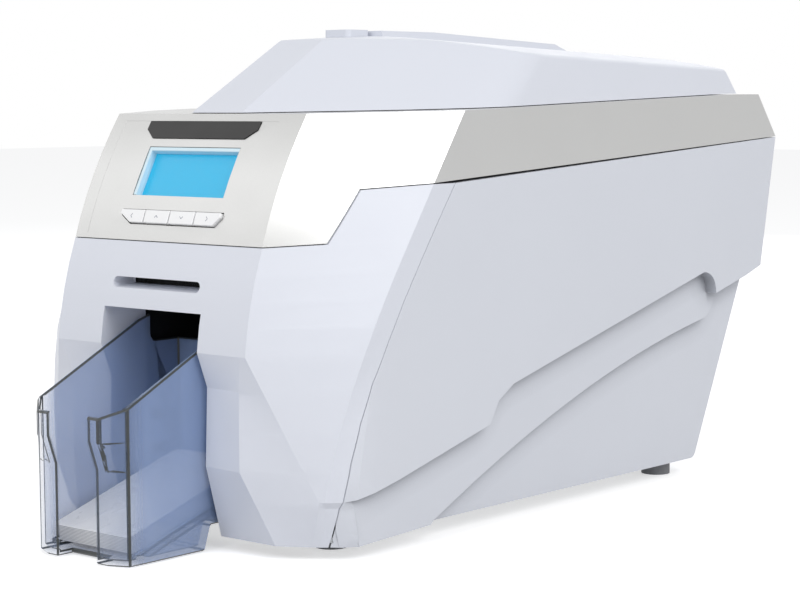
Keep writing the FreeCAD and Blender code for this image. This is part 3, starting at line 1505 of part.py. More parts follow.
def tooth_shape(teeth, slim):
    """The flat outline of a spur gear as a closed polygon about the origin."""
    module = S.gear_module
    pitch = module * teeth / 2
    tip, root = pitch + TIP_MODULES * module, pitch - ROOT_MODULES * module
    step = 2 * math.pi / teeth
    points = []
    for index in range(teeth):
        middle = index * step
        for radius, width in ((root, ROOT_SHARE), (pitch, PITCH_SHARE), (tip, TIP_SHARE)):
            half = step * width / 2 - slim / (2 * radius)
            points.append((radius, middle - half))
        for radius, width in ((tip, TIP_SHARE), (pitch, PITCH_SHARE), (root, LAST_ROOT_SHARE)):
            half = step * width / 2 - slim / (2 * radius)
            points.append((radius, middle + half))
    ring = [Vector(0, radius * math.cos(angle), radius * math.sin(angle))
            for radius, angle in points]
    return ring


def gear_shape(teeth, depth, height, phase, bore):
    """A spur gear beside the right plate, turned so that it meshes."""
    start = S.plate_spread + S.sheet_thick + S.gear_stand_off
    ring = tooth_shape(teeth, S.tooth_backlash)
    face = Part.Face(Part.makePolygon(ring + ring[:1]))
    solid = face.extrude(Vector(S.gear_width, 0, 0))
    hole = Part.makeCylinder(bore, S.gear_width, Vector(), Vector(1, 0, 0))
    solid = solid.cut(hole)
    solid.rotate(Vector(), Vector(1, 0, 0), math.degrees(phase))
    solid.translate(Vector(start, FRONT + depth, height))
    return solid


def mesh_phase(first_phase, first_teeth, second_teeth, direction):
    """The turn that puts a second gear in mesh with a first, seen along a direction."""
    first = (direction - first_phase) * first_teeth / (2 * math.pi)
    second = (direction + math.pi) - (0.5 - first) * 2 * math.pi / second_teeth
    return second


def make_gear_train():
    """Drive gears on the shafts, idlers between them, and the motor's pinion."""
    shaft_bore = S.shaft_radius + S.running_fit / 2
    stud_bore = S.stud_radius + S.running_fit
    drive = DRIVE_GEAR_TEETH
    node(shaped("PlatenGear", gear_shape(drive, S.platen_depth, ROLLER_HEIGHT, 0.0, shaft_bore)),
         "platen_gear")
    for name, label, end, way in (("FrontIdler", "front_idler_gear", "feed", math.pi),
                                  ("RearIdler", "rear_idler_gear", "rear", 0.0)):
        depth = S.platen_depth + IDLER_CENTRES * math.cos(way)
        phase = mesh_phase(0.0, drive, IDLER_TEETH, way)
        node(shaped(name, gear_shape(IDLER_TEETH, depth, ROLLER_HEIGHT, phase, stud_bore)),
             label)
        last = mesh_phase(phase, IDLER_TEETH, drive, way)
        solid = gear_shape(drive, SHAFTS[end][0], ROLLER_HEIGHT, last, shaft_bore)
        node(shaped(end.title() + "Gear", solid), f"{end}_gear")
        if end == "feed":
            pick = mesh_phase(last, drive, PICK_TEETH, PICK_ANGLE)
            solid = gear_shape(PICK_TEETH, PICK_DEPTH, PICK_HEIGHT, pick, shaft_bore)
            node(shaped("PickGear", solid), "pick_gear")
    down = mesh_phase(0.0, drive, PINION_TEETH, -math.pi / 2)
    solid = gear_shape(PINION_TEETH, S.platen_depth, MOTOR_HEIGHT, down,
                       S.motor_shaft_radius + S.running_fit / 2)
    node(shaped("MotorPinion", solid), "motor_pinion")


def make_rollers():
    """Five rollers, each a rubber sleeve on a steel shaft of its own."""
    end = S.plate_spread + S.sheet_thick + S.gear_stand_off + S.gear_width + S.seat_gap
    plain = S.plate_spread + S.sheet_thick + S.seat_gap
    for name, (depth, height) in SHAFTS.items():
        radius = S.pick_radius if name == "pick" else S.roller_radius
        width = S.pick_width if name == "pick" else S.card_width - 2 * S.gear_module
        far = plain if name == "cleaner" else end
        at = Vector(-plain, FRONT + depth, height)
        shaft = Part.makeCylinder(S.shaft_radius, plain + far, at, Vector(1, 0, 0))
        sleeve = Part.makeCylinder(radius, width, Vector(-width / 2, FRONT + depth, height),
                                   Vector(1, 0, 0))
        sleeve = sleeve.cut(shaft)
        if name == "platen":
            node(shaped("PlatenShaft", shaft), "platen_shaft")
            node(shaped("PlatenRoller", sleeve), "platen_roller")
        else:
            pair = Part.makeCompound([shaft, sleeve])
            node(shaped(name.title() + "Roller", pair), f"{name}_roller")


def make_motor():
    """The stepping motor on the right plate, its shaft through the plate."""
    half = S.motor_width / 2
    at = Vector(S.plate_spread, FRONT + S.platen_depth, MOTOR_HEIGHT)
    case = cuboid((S.plate_spread - S.motor_length, S.plate_spread),
                  (S.platen_depth - half, S.platen_depth + half),
                  (MOTOR_HEIGHT - half, MOTOR_HEIGHT + half))
    along = [edge for edge in case.Edges if edge.BoundBox.XLength > S.motor_length / 2]
    case = case.makeChamfer(S.sheet_thick, along)
    boss = Part.makeCylinder(S.motor_boss_radius, S.sheet_thick, at, Vector(1, 0, 0))
    well = Part.makeCylinder(S.motor_shaft_radius + S.running_fit, S.motor_length / 2,
                             at + Vector(S.sheet_thick - S.motor_length / 2, 0, 0),
                             Vector(1, 0, 0))
    node(shaped("DriveMotor", case.fuse(boss).cut(well).removeSplitter()), "drive_motor")
    reach = S.sheet_thick + S.gear_stand_off + S.gear_width
    shaft = Part.makeCylinder(S.motor_shaft_radius, reach + S.motor_length / 4,
                              at - Vector(S.motor_length / 4, 0, 0), Vector(1, 0, 0))
    node(shaped("MotorShaft", shaft), "motor_shaft")


# Ribbon and print head


def spool_shape(depth, film_radius):
    """A ribbon spool: a core with its film, two flanges and two journals."""
    def drum(radius, low, high):
        return Part.makeCylinder(radius, high - low, Vector(low, FRONT + depth, S.spool_height),
                                 Vector(1, 0, 0))
    half = S.spool_film_width / 2
    flange = half + S.spool_flange_thick
    end = S.plate_spread + S.sheet_thick + S.seat_gap
    solid = drum(film_radius, -half, half)
    for side in (-1, 1):
        low, high = sorted((side * half, side * flange))
        solid = solid.fuse(drum(min(film_radius + S.spool_flange_thick * 2,
                                    S.spool_flange_radius), low, high))
        low, high = sorted((side * flange, side * end))
        solid = solid.fuse(drum(S.journal_radius, low, high))
    return solid.removeSplitter()


def make_ribbon():
    """Two spools and the film that runs between them under the print head."""
    node(shaped("SupplySpool", spool_shape(S.supply_depth, S.supply_radius)), "supply_spool")
    node(shaped("TakeUpSpool", spool_shape(S.take_up_depth, S.take_up_radius)),
         "take_up_spool")
    gap = S.seat_gap
    half = S.spool_film_width / 2 - gap
    low = S.path_height + gap
    supply = S.supply_depth - S.supply_radius - gap - S.film_thick
    take = S.take_up_depth + S.take_up_radius + gap
    thick = S.film_thick
    outline = [
        (take, S.spool_height), (take + thick, S.spool_height),
        (S.film_low_front_depth + thick, low + thick), (S.film_low_rear_depth - thick, low + thick),
        (supply, S.spool_height), (supply + thick, S.spool_height),
        (S.film_low_rear_depth, low), (S.film_low_front_depth, low),
    ]
    node(shaped("RibbonFilm", side_prism(outline, -half, half)), "ribbon_film")


def make_print_head():
    """The thermal head and the carrier that hangs it from the lid."""
    gap = S.seat_gap
    low = S.path_height + gap * 2 + S.film_thick
    half = S.head_width / 2
    front, rear = S.head_front_depth, S.head_rear_depth
    head = side_prism([
        (front + S.head_tall / 2, low), (rear - S.head_tall / 2, low),
        (rear, low + S.head_tall / 2), (rear, low + S.head_tall),
        (front, low + S.head_tall), (front, low + S.head_tall / 2),
    ], -half, half)
    node(shaped("PrintHead", head), "print_head")
    wide = S.carrier_width / 2
    wall = S.sheet_thick
    base = low + S.head_tall + gap
    middle = (S.carrier_front_depth + S.carrier_rear_depth) / 2
    top = between(S.carrier_rear_depth, S.spine_fall_depth, S.spine_rear_depth,
                  S.spine_height, S.spine_rear_height) - S.wall - gap
    roof = crown_height(wide, S.carrier_rear_depth) - S.wall - gap
    outer = cuboid((-wide, wide), (S.carrier_front_depth, S.carrier_rear_depth), (base, roof))
    inner = cuboid((-wide + wall, wide - wall),
                   (S.carrier_front_depth - wall, S.carrier_rear_depth - wall),
                   (base + wall, roof - wall))
    foot = S.spine_width / 2 - S.wall * 2
    tongue = cuboid((-foot, foot), (middle, S.carrier_rear_depth), (roof - wall, top))
    node(shaped("HeadCarrier", outer.cut(inner).fuse(tongue).removeSplitter()), "head_carrier")


# Electronics


def make_electronics():
    """The main board on its posts and the sockets that reach the rear pocket."""
    half = "board_width / 2"
    top = "board_height + board_thick"
    board = block("Board", (f"-{half}", half),
                  ("front_plane + board_front_depth", "front_plane + board_rear_depth"),
                  ("board_height", top))
    chips = []
    for index, (x, depth) in enumerate((("0", "overrun * 2"), ("-overrun - wall", "overrun"),
                                        ("overrun", "overrun + gear_width"))):
        size = "gear_width" if index else "motor_boss_radius"
        chips.append(block("Chip", (f"{x} - {size}", f"{x} + {size}"),
                           (f"front_plane + board_front_depth + {depth} - {size}",
                            f"front_plane + board_front_depth + {depth} + {size}"),
                           (top, f"{top} + sheet_thick")))
    node(group("MainBoard", fused("BoardWithChips", board, *chips)), "main_board")
    pocket = "front_plane + pocket_depth"
    floor = f"{top}"

    def socket(name, x, width, tall, length, proud):
        return block(name, (f"{x} - {width} / 2", f"{x} + {width} / 2"),
                     (f"{pocket} + {proud} - {length}", f"{pocket} + {proud}"),
                     (floor, f"{floor} + {tall}"))

    shell = socket("NetworkShell", "network_offset", "network_width", "network_tall",
                   "network_length", "gear_stand_off")
    mouth = block("NetworkMouth",
                  ("network_offset - network_mouth_width / 2", "network_offset + network_mouth_width / 2"),
                  (f"{pocket} - network_length / 2", f"{pocket} + overrun"),
                  (f"{floor} + sheet_thick", f"{floor} + sheet_thick + network_mouth_tall"))
    node(cut("NetworkSocket", shell, mouth), "network_socket")
    shell = socket("UsbShell", "usb_offset", "usb_width", "usb_tall", "usb_length",
                   "gear_stand_off")
    rim = "usb_width / 2 - pocket_wall"
    mouth = block("UsbMouth", (f"usb_offset - ({rim})", f"usb_offset + ({rim})"),
                  (f"{pocket} - usb_length / 2", f"{pocket} + overrun"),
                  (f"{floor} + pocket_wall", f"{floor} + usb_tall - pocket_wall"))
    tongue = block("UsbTongue", ("usb_offset - usb_width / 4", "usb_offset + usb_width / 4"),
                   (f"{pocket} + gear_stand_off - usb_length", pocket),
                   (f"{floor} + usb_tall / 2 - pocket_wall",
                    f"{floor} + usb_tall / 2 + pocket_wall"))
    node(fused("UsbSocket", cut("UsbHollow", shell, mouth), tongue), "usb_socket")
    shell = socket("InletShell", "inlet_offset", "inlet_width", "inlet_tall", "inlet_length",
                   "gear_stand_off")
    hole = bolt("InletHole", "inlet_hole_radius", "inlet_offset",
                (f"{pocket} - inlet_length / 2", f"{pocket} + overrun"),
                f"{floor} + inlet_tall / 2")
    pin = bolt("InletPin", "inlet_pin_radius", "inlet_offset",
               (f"{pocket} + gear_stand_off - inlet_length", f"{pocket} + pocket_wall"),
               f"{floor} + inlet_tall / 2")
    node(fused("PowerInlet", cut("InletHollow", shell, hole), pin), "power_inlet")


def make_switch():
    """The rocker switch: a housing in the pocket and a rocker on its pivot."""
    half, tall = S.switch_width / 2, S.switch_tall / 2
    rim = S.switch_rim
    x, z = S.switch_offset, S.switch_height
    front = S.pocket_depth
    body = cuboid((x - half + rim, x + half - rim), (front - S.switch_length, front + rim),
                  (z - tall + rim, z + tall - rim))
    flange = cuboid((x - half, x + half), (front, front + rim), (z - tall, z + tall))
    reach, span = S.rocker_width / 2 + S.slip, S.rocker_tall / 2 + S.slip
    well = cuboid((x - reach, x + reach), (front - S.switch_length + rim, front + S.overrun),
                  (z - span, z + span))
    pivot = Part.makeCylinder(S.rocker_pivot_radius, 2 * reach + rim,
                              Vector(x - reach - rim / 2, FRONT + front - rim, z),
                              Vector(1, 0, 0))
    housing = body.fuse(flange).cut(well).fuse(pivot)
    node(shaped("SwitchHousing", housing.removeSplitter()), "power_switch_housing")
    reach, span = S.rocker_width / 2, S.rocker_tall / 2
    proud = rim * 2
    rocker = side_prism([
        (front - rim * 3, z - span / 2), (front + rim / 2, z - span + rim / 2),
        (front + rim, z), (front + proud, z + span - rim / 2),
        (front - rim * 2, z + span / 2),
    ], x - reach, x + reach)
    bore = Part.makeCylinder(S.rocker_pivot_radius + S.running_fit, 4 * reach,
                             Vector(x - 2 * reach, FRONT + front - rim, z), Vector(1, 0, 0))
    node(shaped("SwitchRocker", rocker.cut(bore)), "power_switch_rocker")


# Card tray, cards and the bay behind them


def tray_front_half():
    """One front corner of the tray: a flange that folds in to a thumb post."""
    wall = S.tray_wall
    side = S.tray_width / 2
    corner = -S.tray_corner_depth
    fold = S.post_fold_spread
    inner = S.post_gap / 2
    wires = []
    front = -S.tray_reach
    levels = [(S.tray_bottom_height, S.post_back_depth), (S.post_bend_low_height, S.post_back_depth),
              (S.post_bend_high_height, 0.0), (S.tray_corner_height + wall, 0.0)]
    for height, back in levels:
        face = front + back
        points = [(side, corner), (fold, face), (inner, face), (inner, face + wall),
                  (fold - wall / 4, face + wall), (side - wall, corner + wall / 2)]
        ring = [Vector(x, FRONT + depth, height) for x, depth in points]
        wires.append(Part.makePolygon(ring + ring[:1]))
    post = Part.makeLoft(wires, True, True)
    over = side_prism([(corner + wall * 2, S.tray_corner_height + wall * 2),
                       (corner + wall * 2, S.tray_corner_height),
                       (corner, S.tray_corner_height), (front, S.post_top_height),
                       (front - wall, S.post_top_height),
                       (front - wall, S.tray_corner_height + wall * 2)], 0, side + wall)
    return post.cut(over)


def tray_side_outline():
    """The tray's side wall in side view."""
    return [
        (-S.tray_corner_depth, S.tray_bottom_height), (S.tray_step_depth, S.tray_bottom_height),
        (S.tray_step_end_depth, S.tray_inner_height), (S.tray_rear_depth, S.tray_inner_height),
        (S.tray_rear_depth, S.tray_notch_height),
    ] + corner_arc(
        (S.tray_rear_depth, S.tray_notch_height), (S.tray_notch_depth, S.tray_notch_height),
        (S.tray_notch_depth, S.tray_top_height), S.tray_notch_radius,
    ) + [
        (S.tray_notch_depth, S.tray_top_height), (S.tray_rise_depth, S.tray_rise_height),
        (-S.tray_corner_depth, S.tray_corner_height),
    ]


def make_tray():
    """The clear card tray: side and rear walls, stepped floor, rest and two thumb posts."""
    side, wall = S.tray_width / 2, S.tray_wall
    right = side_prism(tray_side_outline(), side - wall, side)
    snap = rectangle(S.snap_front_depth, S.snap_rear_depth, S.snap_low_height, S.snap_high_height)
    tongue = rectangle(S.snap_front_depth, S.snap_rear_depth - S.snap_slot,
                       S.snap_low_height + S.snap_slot, S.snap_high_height - S.snap_slot)
    snap = side_prism(snap, 0, side + wall).cut(side_prism(tongue, 0, side + wall))
    right = right.cut(snap)
    right = right.fuse(tray_front_half())
    thick = S.tray_floor_thick
    front = S.post_back_depth - S.tray_reach
    plan = [(0, -S.card_front_depth - wall), (S.post_gap / 2, -S.card_front_depth - wall),
            (S.post_gap / 2, front), (S.post_fold_spread, front),
            (side, -S.tray_corner_depth), (side, S.tray_step_depth), (0, S.tray_step_depth)]
    floor = plan_prism(plan, S.tray_bottom_height, S.tray_bottom_height + thick)
    inner = S.tray_inner_height
    step = side_prism([(S.tray_step_depth - thick, S.tray_bottom_height),
                       (S.tray_step_depth, S.tray_bottom_height), (S.tray_step_end_depth, inner),
                       (S.tray_rear_depth, inner), (S.tray_rear_depth, inner + wall),
                       (S.tray_step_end_depth - thick, inner + wall),
                       (S.tray_step_depth - thick, S.tray_bottom_height + thick)], 0, side)
    slope = math.tan(math.radians(CARD_SLOPE_DEGREES))

    def under_cards(depth):
        return S.card_front_height - S.seat_gap + slope * (depth + S.card_front_depth)

    rest_from, rest_to = -S.card_front_depth, S.card_front_depth
    rib = side_prism([(rest_from, S.tray_bottom_height), (rest_from, under_cards(rest_from)),
                      (rest_to, under_cards(rest_to)),
                      (rest_to, under_cards(rest_to) - S.rest_rib_thick * 2),
                      (rest_from + S.overrun, under_cards(rest_from + S.overrun)
                       - S.rest_rib_thick * 2)],
                     side - wall - S.rest_rib_width, side - wall)
    rear = cuboid((0, side - wall / 2), (S.tray_rear_depth - wall, S.tray_rear_depth),
                  (inner, S.tray_notch_height))
    rest = side_prism([(rest_to, inner), (rest_to, under_cards(rest_to)),
                       (rest_to + wall, under_cards(rest_to + wall)),
                       (rest_to + wall, inner)], 0, side)
    right = right.fuse([floor, step, rib, rest, rear])
    left = right.mirror(Vector(), Vector(1, 0, 0))
    return node(shaped("CardTray", right.fuse(left).removeSplitter()), "card_tray")


def make_cards():
    """The stack of cards that lies on the tray's sloped ribs."""
    half = S.card_width / 2
    cards = []
    for index in range(CARD_COUNT):
        low = index * (S.card_thick + S.card_air)
        card = Part.makeBox(S.card_width, S.card_length, S.card_thick, Vector(-half, 0, low))
        upright = [edge for edge in card.Edges if edge.BoundBox.ZLength > S.card_thick / 2]
        card = card.makeFillet(S.card_corner, upright)
        card.rotate(Vector(), Vector(1, 0, 0), CARD_SLOPE_DEGREES)
        card.translate(Vector(0, FRONT - S.card_front_depth, S.card_front_height))
        cards.append(card)
    node(shaped("CardStack", Part.makeCompound(cards)), "card_stack")


def make_bay_liner():
    """The black chute behind the bay, open to the front, with a window for the pick roller."""
    wall = S.liner_wall
    half = BAY_HALF + wall
    front = S.bay_return + S.seat_gap
    low, high = S.liner_floor_height, S.bay_height + wall
    outer = cuboid((-half, half), (front, S.liner_rear_depth), (low, high))
    hollow = cuboid((-BAY_HALF, BAY_HALF), (front - wall, S.liner_rear_depth - wall),
                    (low + wall / 2, high - wall))
    reach = S.pick_radius + S.gear_module
    window = cuboid((-S.pick_width / 2 - wall, S.pick_width / 2 + wall),
                    (S.liner_rear_depth - wall * 2, S.liner_rear_depth + wall),
                    (PICK_HEIGHT - reach, PICK_HEIGHT + reach))
    solid = outer.cut(hollow).cut(window)
    ear_x = S.plate_spread - S.seat_gap
    for side in (-1, 1):
        xs = (half - wall / 2, ear_x) if side > 0 else (-ear_x, -half + wall / 2)
        ear = cuboid(xs, (S.plate_front_depth + wall, S.plate_front_depth + wall * 3),
                     (S.knee_high_height, S.crease_height))
        solid = solid.fuse(ear)
    node(shaped("BayLiner", solid.removeSplitter()), "bay_liner")


def make_screws():
    """Four screws, up through the base plate into the angle brackets."""
    screws = []
    for side in (-1, 1):
        for depth in (S.screw_front_depth, S.screw_rear_depth):
            at = Vector(side * S.screw_spread, FRONT + depth, S.base_height - S.screw_tall)
            head = Part.makeCylinder(S.screw_radius, S.screw_tall, at)
            shank = Part.makeCylinder(S.screw_shank_radius, S.screw_shank_tall,
                                      at + Vector(0, 0, S.screw_tall))
            screws.append(head.fuse(shank))
    node(shaped("CaseScrews", Part.makeCompound(screws)), "case_screws")


make_front_cover()
make_top_frame()
make_side_covers()
make_rear_panel()
make_socket_pocket()
make_base()
make_display()
make_keys()
make_lid()
make_button_and_latch()
make_hinge()
make_chassis()
make_rails()
make_gear_train()
make_rollers()
make_motor()
make_ribbon()
make_print_head()
make_electronics()
make_switch()
make_tray()
make_cards()
make_bay_liner()
make_screws()
doc.recompute()

faults = [thing.Name for thing in doc.Objects if {"Invalid", "Error"} & set(thing.State)]
faults += [name for name, thing in NODES.items()
           if thing.Shape.isNull() or not thing.Shape.isValid() or not thing.Shape.Solids]
if faults:
    raise RuntimeError(f"these did not build: {faults}")
for name, thing in NODES.items():
    thing.Shape.exportStep(f"parts/{name}.step")
print(len(NODES), "nodes written")
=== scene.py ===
import json
import math

import bmesh
import bpy
from mathutils import Matrix, Vector
from mathutils.bvhtree import BVHTree

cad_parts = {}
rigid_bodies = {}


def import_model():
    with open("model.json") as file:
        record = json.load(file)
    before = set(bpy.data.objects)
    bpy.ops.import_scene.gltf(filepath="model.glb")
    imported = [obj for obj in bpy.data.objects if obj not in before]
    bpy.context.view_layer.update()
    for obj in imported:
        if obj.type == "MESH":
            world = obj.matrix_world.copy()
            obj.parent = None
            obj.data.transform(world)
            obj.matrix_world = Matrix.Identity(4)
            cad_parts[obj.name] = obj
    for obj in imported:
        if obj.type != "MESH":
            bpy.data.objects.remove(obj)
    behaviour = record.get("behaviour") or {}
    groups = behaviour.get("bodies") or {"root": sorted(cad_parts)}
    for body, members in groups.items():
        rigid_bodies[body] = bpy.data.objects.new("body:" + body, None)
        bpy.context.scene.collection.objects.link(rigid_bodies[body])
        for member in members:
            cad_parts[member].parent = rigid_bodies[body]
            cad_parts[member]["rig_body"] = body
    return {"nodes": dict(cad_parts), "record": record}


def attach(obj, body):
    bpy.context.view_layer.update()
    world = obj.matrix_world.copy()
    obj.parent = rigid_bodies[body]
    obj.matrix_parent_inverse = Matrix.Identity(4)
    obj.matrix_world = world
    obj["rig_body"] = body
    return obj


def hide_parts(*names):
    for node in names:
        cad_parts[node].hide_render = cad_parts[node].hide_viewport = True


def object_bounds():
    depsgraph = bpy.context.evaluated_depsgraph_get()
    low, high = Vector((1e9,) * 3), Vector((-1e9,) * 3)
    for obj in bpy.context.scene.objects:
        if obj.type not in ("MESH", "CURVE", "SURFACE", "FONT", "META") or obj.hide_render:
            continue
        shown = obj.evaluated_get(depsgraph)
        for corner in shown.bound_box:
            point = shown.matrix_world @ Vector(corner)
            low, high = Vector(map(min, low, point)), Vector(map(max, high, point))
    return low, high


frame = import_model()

cad_low, cad_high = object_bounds()
bpy.ops.object.select_all(action="DESELECT")

# The camera stands at the photograph's place: to the right of the printer's front, a
# little lower than its top, with a long lens. Blender looks along the camera's own -Z.
PHOTO_PLACE = Vector((0.74840, -0.86116, 0.21569))
PHOTO_AZIMUTH = math.radians(40.556)
PHOTO_PITCH = math.radians(5.494)
PHOTO_ROLL = math.radians(-0.256)
PHOTO_LENS = 94.35
SENSOR_WIDTH = 36.0
NEAREST_SEEN = 0.02

ahead = Vector((
    -math.sin(PHOTO_AZIMUTH) * math.cos(PHOTO_PITCH),
    math.cos(PHOTO_AZIMUTH) * math.cos(PHOTO_PITCH),
    -math.sin(PHOTO_PITCH),
))
level_right = Vector((math.cos(PHOTO_AZIMUTH), math.sin(PHOTO_AZIMUTH), 0.0))
level_up = level_right.cross(ahead)
camera_right = level_right * math.cos(PHOTO_ROLL) + level_up * math.sin(PHOTO_ROLL)
camera_up = level_up * math.cos(PHOTO_ROLL) - level_right * math.sin(PHOTO_ROLL)
bpy.ops.object.camera_add(location=PHOTO_PLACE)
camera = bpy.context.object
camera.name = "photo_camera"
turn = Matrix((camera_right, camera_up, -ahead)).transposed()
camera.rotation_euler = turn.to_euler()
camera.data.lens = PHOTO_LENS
camera.data.sensor_fit = "HORIZONTAL"
camera.data.sensor_width = SENSOR_WIDTH
camera.data.clip_start = NEAREST_SEEN
bpy.context.scene.camera = camera

# The studio: a plain white floor that keeps the printer's soft shadow, a white world,
# and four wide soft lamps above the front, both sides and the rear. Floor and world are
# white where they are looked at, and dimmer where they light the printer.
WHITE = (1.0, 1.0, 1.0, 1.0)
FLOOR_SIZE = 14.0
FLOOR_SHOWN = (0.86, 0.86, 0.865, 1.0)
FLOOR_DIM = (0.62, 0.62, 0.625, 1.0)
FLOOR_GLOW = 0.50
WORLD_DIM = (0.985, 0.992, 1.0, 1.0)
WORLD_GLOW = 0.50


def coloured(tree, kind, colour, strength=None):
    """A shader of one colour, and of one strength where it gives light."""
    shader = tree.nodes.new(kind)
    shader.inputs["Color"].default_value = colour
    if strength is not None:
        shader.inputs["Strength"].default_value = strength
    return shader.outputs[0]


def shown_white(tree):
    """One where the camera, clear plastic or a glossy face looks at the studio."""
    rays = tree.nodes.new("ShaderNodeLightPath")
    total = rays.outputs["Is Camera Ray"]
    for kind in ("Is Transmission Ray", "Is Glossy Ray"):
        either = tree.nodes.new("ShaderNodeMath")
        either.operation = "MAXIMUM"
        tree.links.new(total, either.inputs[0])
        tree.links.new(rays.outputs[kind], either.inputs[1])
        total = either.outputs[0]
    return total


def two_ways(tree, dim, shown, kind):
    """Ends a studio tree: one shader lights the printer, the other is what is seen."""
    choose = tree.nodes.new("ShaderNodeMixShader")
    end = tree.nodes.new(kind)
    tree.links.new(shown_white(tree), choose.inputs[0])
    tree.links.new(dim, choose.inputs[1])
    tree.links.new(shown, choose.inputs[2])
    tree.links.new(choose.outputs[0], end.inputs[0])


bpy.ops.mesh.primitive_plane_add(size=FLOOR_SIZE)
floor = bpy.context.object
floor.name = "studio_floor"
paper = bpy.data.materials.new("studio_paper")
paper.use_nodes = True
tree = paper.node_tree
tree.nodes.clear()
both = tree.nodes.new("ShaderNodeAddShader")
tree.links.new(coloured(tree, "ShaderNodeBsdfDiffuse", FLOOR_SHOWN), both.inputs[0])
tree.links.new(coloured(tree, "ShaderNodeEmission", WHITE, FLOOR_GLOW), both.inputs[1])
dull = coloured(tree, "ShaderNodeBsdfDiffuse", FLOOR_DIM)
two_ways(tree, dull, both.outputs[0], "ShaderNodeOutputMaterial")
floor.data.materials.append(paper)

world = bpy.data.worlds.new("studio_world")
bpy.context.scene.world = world
world.use_nodes = True
tree = world.node_tree
tree.nodes.clear()
dim = coloured(tree, "ShaderNodeBackground", WORLD_DIM, WORLD_GLOW)
bright = coloured(tree, "ShaderNodeBackground", WHITE, 1.0)
two_ways(tree, dim, bright, "ShaderNodeOutputWorld")

# Each lamp is a square panel that faces the printer's middle: its name, its place and
# width in metres, and its power in watts.
LAMP_AIM = Vector((0.0, 0.0, 0.12))
LAMPS = (
    ("lamp_front", (0.05, -1.75, 1.10), 1.0, 9.3),
    ("lamp_left", (-1.5, -1.2, 1.25), 1.0, 2.6),
    ("lamp_right", (1.75, -0.35, 1.40), 1.25, 19.5),
    ("lamp_rear", (-0.6, 1.8, 0.9), 1.6, 6.0),
)
for name, place, width, power in LAMPS:
    bpy.ops.object.light_add(type="AREA", location=place)
    lamp = bpy.context.object
    lamp.name = name
    lamp.data.shape = "SQUARE"
    lamp.data.size = width
    lamp.data.energy = power
    aim = LAMP_AIM - Vector(place)
    lamp.rotation_euler = aim.to_track_quat("-Z", "Y").to_euler()

# The front cover is one white ABS moulding with a fine matt grain. It wraps the front
# and both chamfers, and the card bay and the hand-feed slot are moulded into it. A black
# brush of short bristles closes the slot, put there as painted shade for its dark inside.
SLOT_OF = {entry["node"]: entry["material_slot"] for entry in frame["record"]["subparts"]}
COVER_WHITE = (225, 228, 237)
COVER_EDGE = 0.0009

# Depths are counted from the crease across the front cover, which the tray's mouth stands
# ahead of. Every second bristle is set a little further back, so that they show apart.
TRAY_AHEAD = 0.052
CREASE_Y = cad_low.y + TRAY_AHEAD
# The brush is painted shade: black bristles set where the slot's inside lies in shade.
BRUSH_SHADE_BLACK = (9, 9, 10)
BRUSH_WIDTH = 0.0588
BRUSH_LOW = 0.12590
BRUSH_HIGH = 0.12905
BRUSH_FRONT = CREASE_Y + 0.0196
BRUSH_REAR = CREASE_Y + 0.0216
BRISTLES = 84
BRISTLE_STAGGER = 0.0002

# How a CAD node's mesh is finished: what counts as one corner, one flat face, one level
# and a thin wall, and the share of the rounding that a thin wall's rims keep.
SAME_CORNER = 0.00001
SAME_FLAT = math.radians(0.7)
SAME_LEVEL = 0.0001
WALL_THICK = 0.0034
RIM_SHARE = 0.28

# The noise in the finishes: nearly all of it lies between these two levels. A scale is in
# waves per metre, and a height is in metres.
NOISE_LOW = 0.3
NOISE_HIGH = 0.7
FLOW_SCALE = 9.0
FLOW_SHADE = 0.02
PATCH_SCALE = 60.0
PATCH_BAND = 0.04
GRAIN_SCALE = 900.0
GRAIN_HEIGHT = 0.0002
PLASTIC_SHINE = 0.4


def only(piece):
    """Selects one object and nothing else."""
    bpy.ops.object.select_all(action="DESELECT")
    piece.select_set(True)
    bpy.context.view_layer.objects.active = piece


def merged_copy(node):
    """A bare copy of a CAD node, its loose triangles merged into whole faces again."""
    piece = bpy.data.objects.new(node + "_finished", frame["nodes"][node].data.copy())
    bpy.context.scene.collection.objects.link(piece)
    piece.data.materials.clear()
    only(piece)
    bpy.ops.object.mode_set(mode="EDIT")
    bpy.ops.mesh.select_all(action="SELECT")
    bpy.ops.mesh.remove_doubles(threshold=SAME_CORNER)
    bpy.ops.mesh.dissolve_limited(angle_limit=SAME_FLAT)
    bpy.ops.object.mode_set(mode="OBJECT")
    return piece


def softened(node, edge, segments=3, limit=22.0, smooth=38.0, rims=True, sunk=()):
    """A copy of a CAD node with its edges rounded, less along the thin rims of its walls.

    An edge sharper than the limit, in degrees, is rounded. Each pair in sunk is a
    distance from the middle plane, and how much deeper the faces there are set.
    """
    piece = merged_copy(node)
    shape = bmesh.new()
    shape.from_mesh(piece.data)
    for level, depth in sunk:
        for corner in shape.verts:
            if abs(abs(corner.co.x) - level) < SAME_LEVEL:
                corner.co.x -= math.copysign(depth, corner.co.x)
    weight = shape.edges.layers.float.new("bevel_weight_edge")
    for line in shape.edges:
        if len(line.link_faces) != 2 or line.calc_face_angle() < math.radians(limit):
            continue
        thin = min(face.calc_area() / max(side.calc_length() for side in face.edges)
                   for face in line.link_faces)
        line[weight] = RIM_SHARE if rims and thin < WALL_THICK else 1.0
    shape.to_mesh(piece.data)
    shape.free()
    rounding = piece.modifiers.new("rounded_edges", "BEVEL")
    rounding.width = edge
    rounding.segments = segments
    rounding.limit_method = "WEIGHT"
    rounding.miter_outer = "MITER_ARC"
    bpy.ops.object.modifier_apply(modifier=rounding.name)
    bpy.ops.object.shade_smooth_by_angle(angle=math.radians(smooth))
    even = piece.modifiers.new("even_normals", "WEIGHTED_NORMAL")
    even.keep_sharp = True
    bpy.ops.object.modifier_apply(modifier=even.name)
    return piece


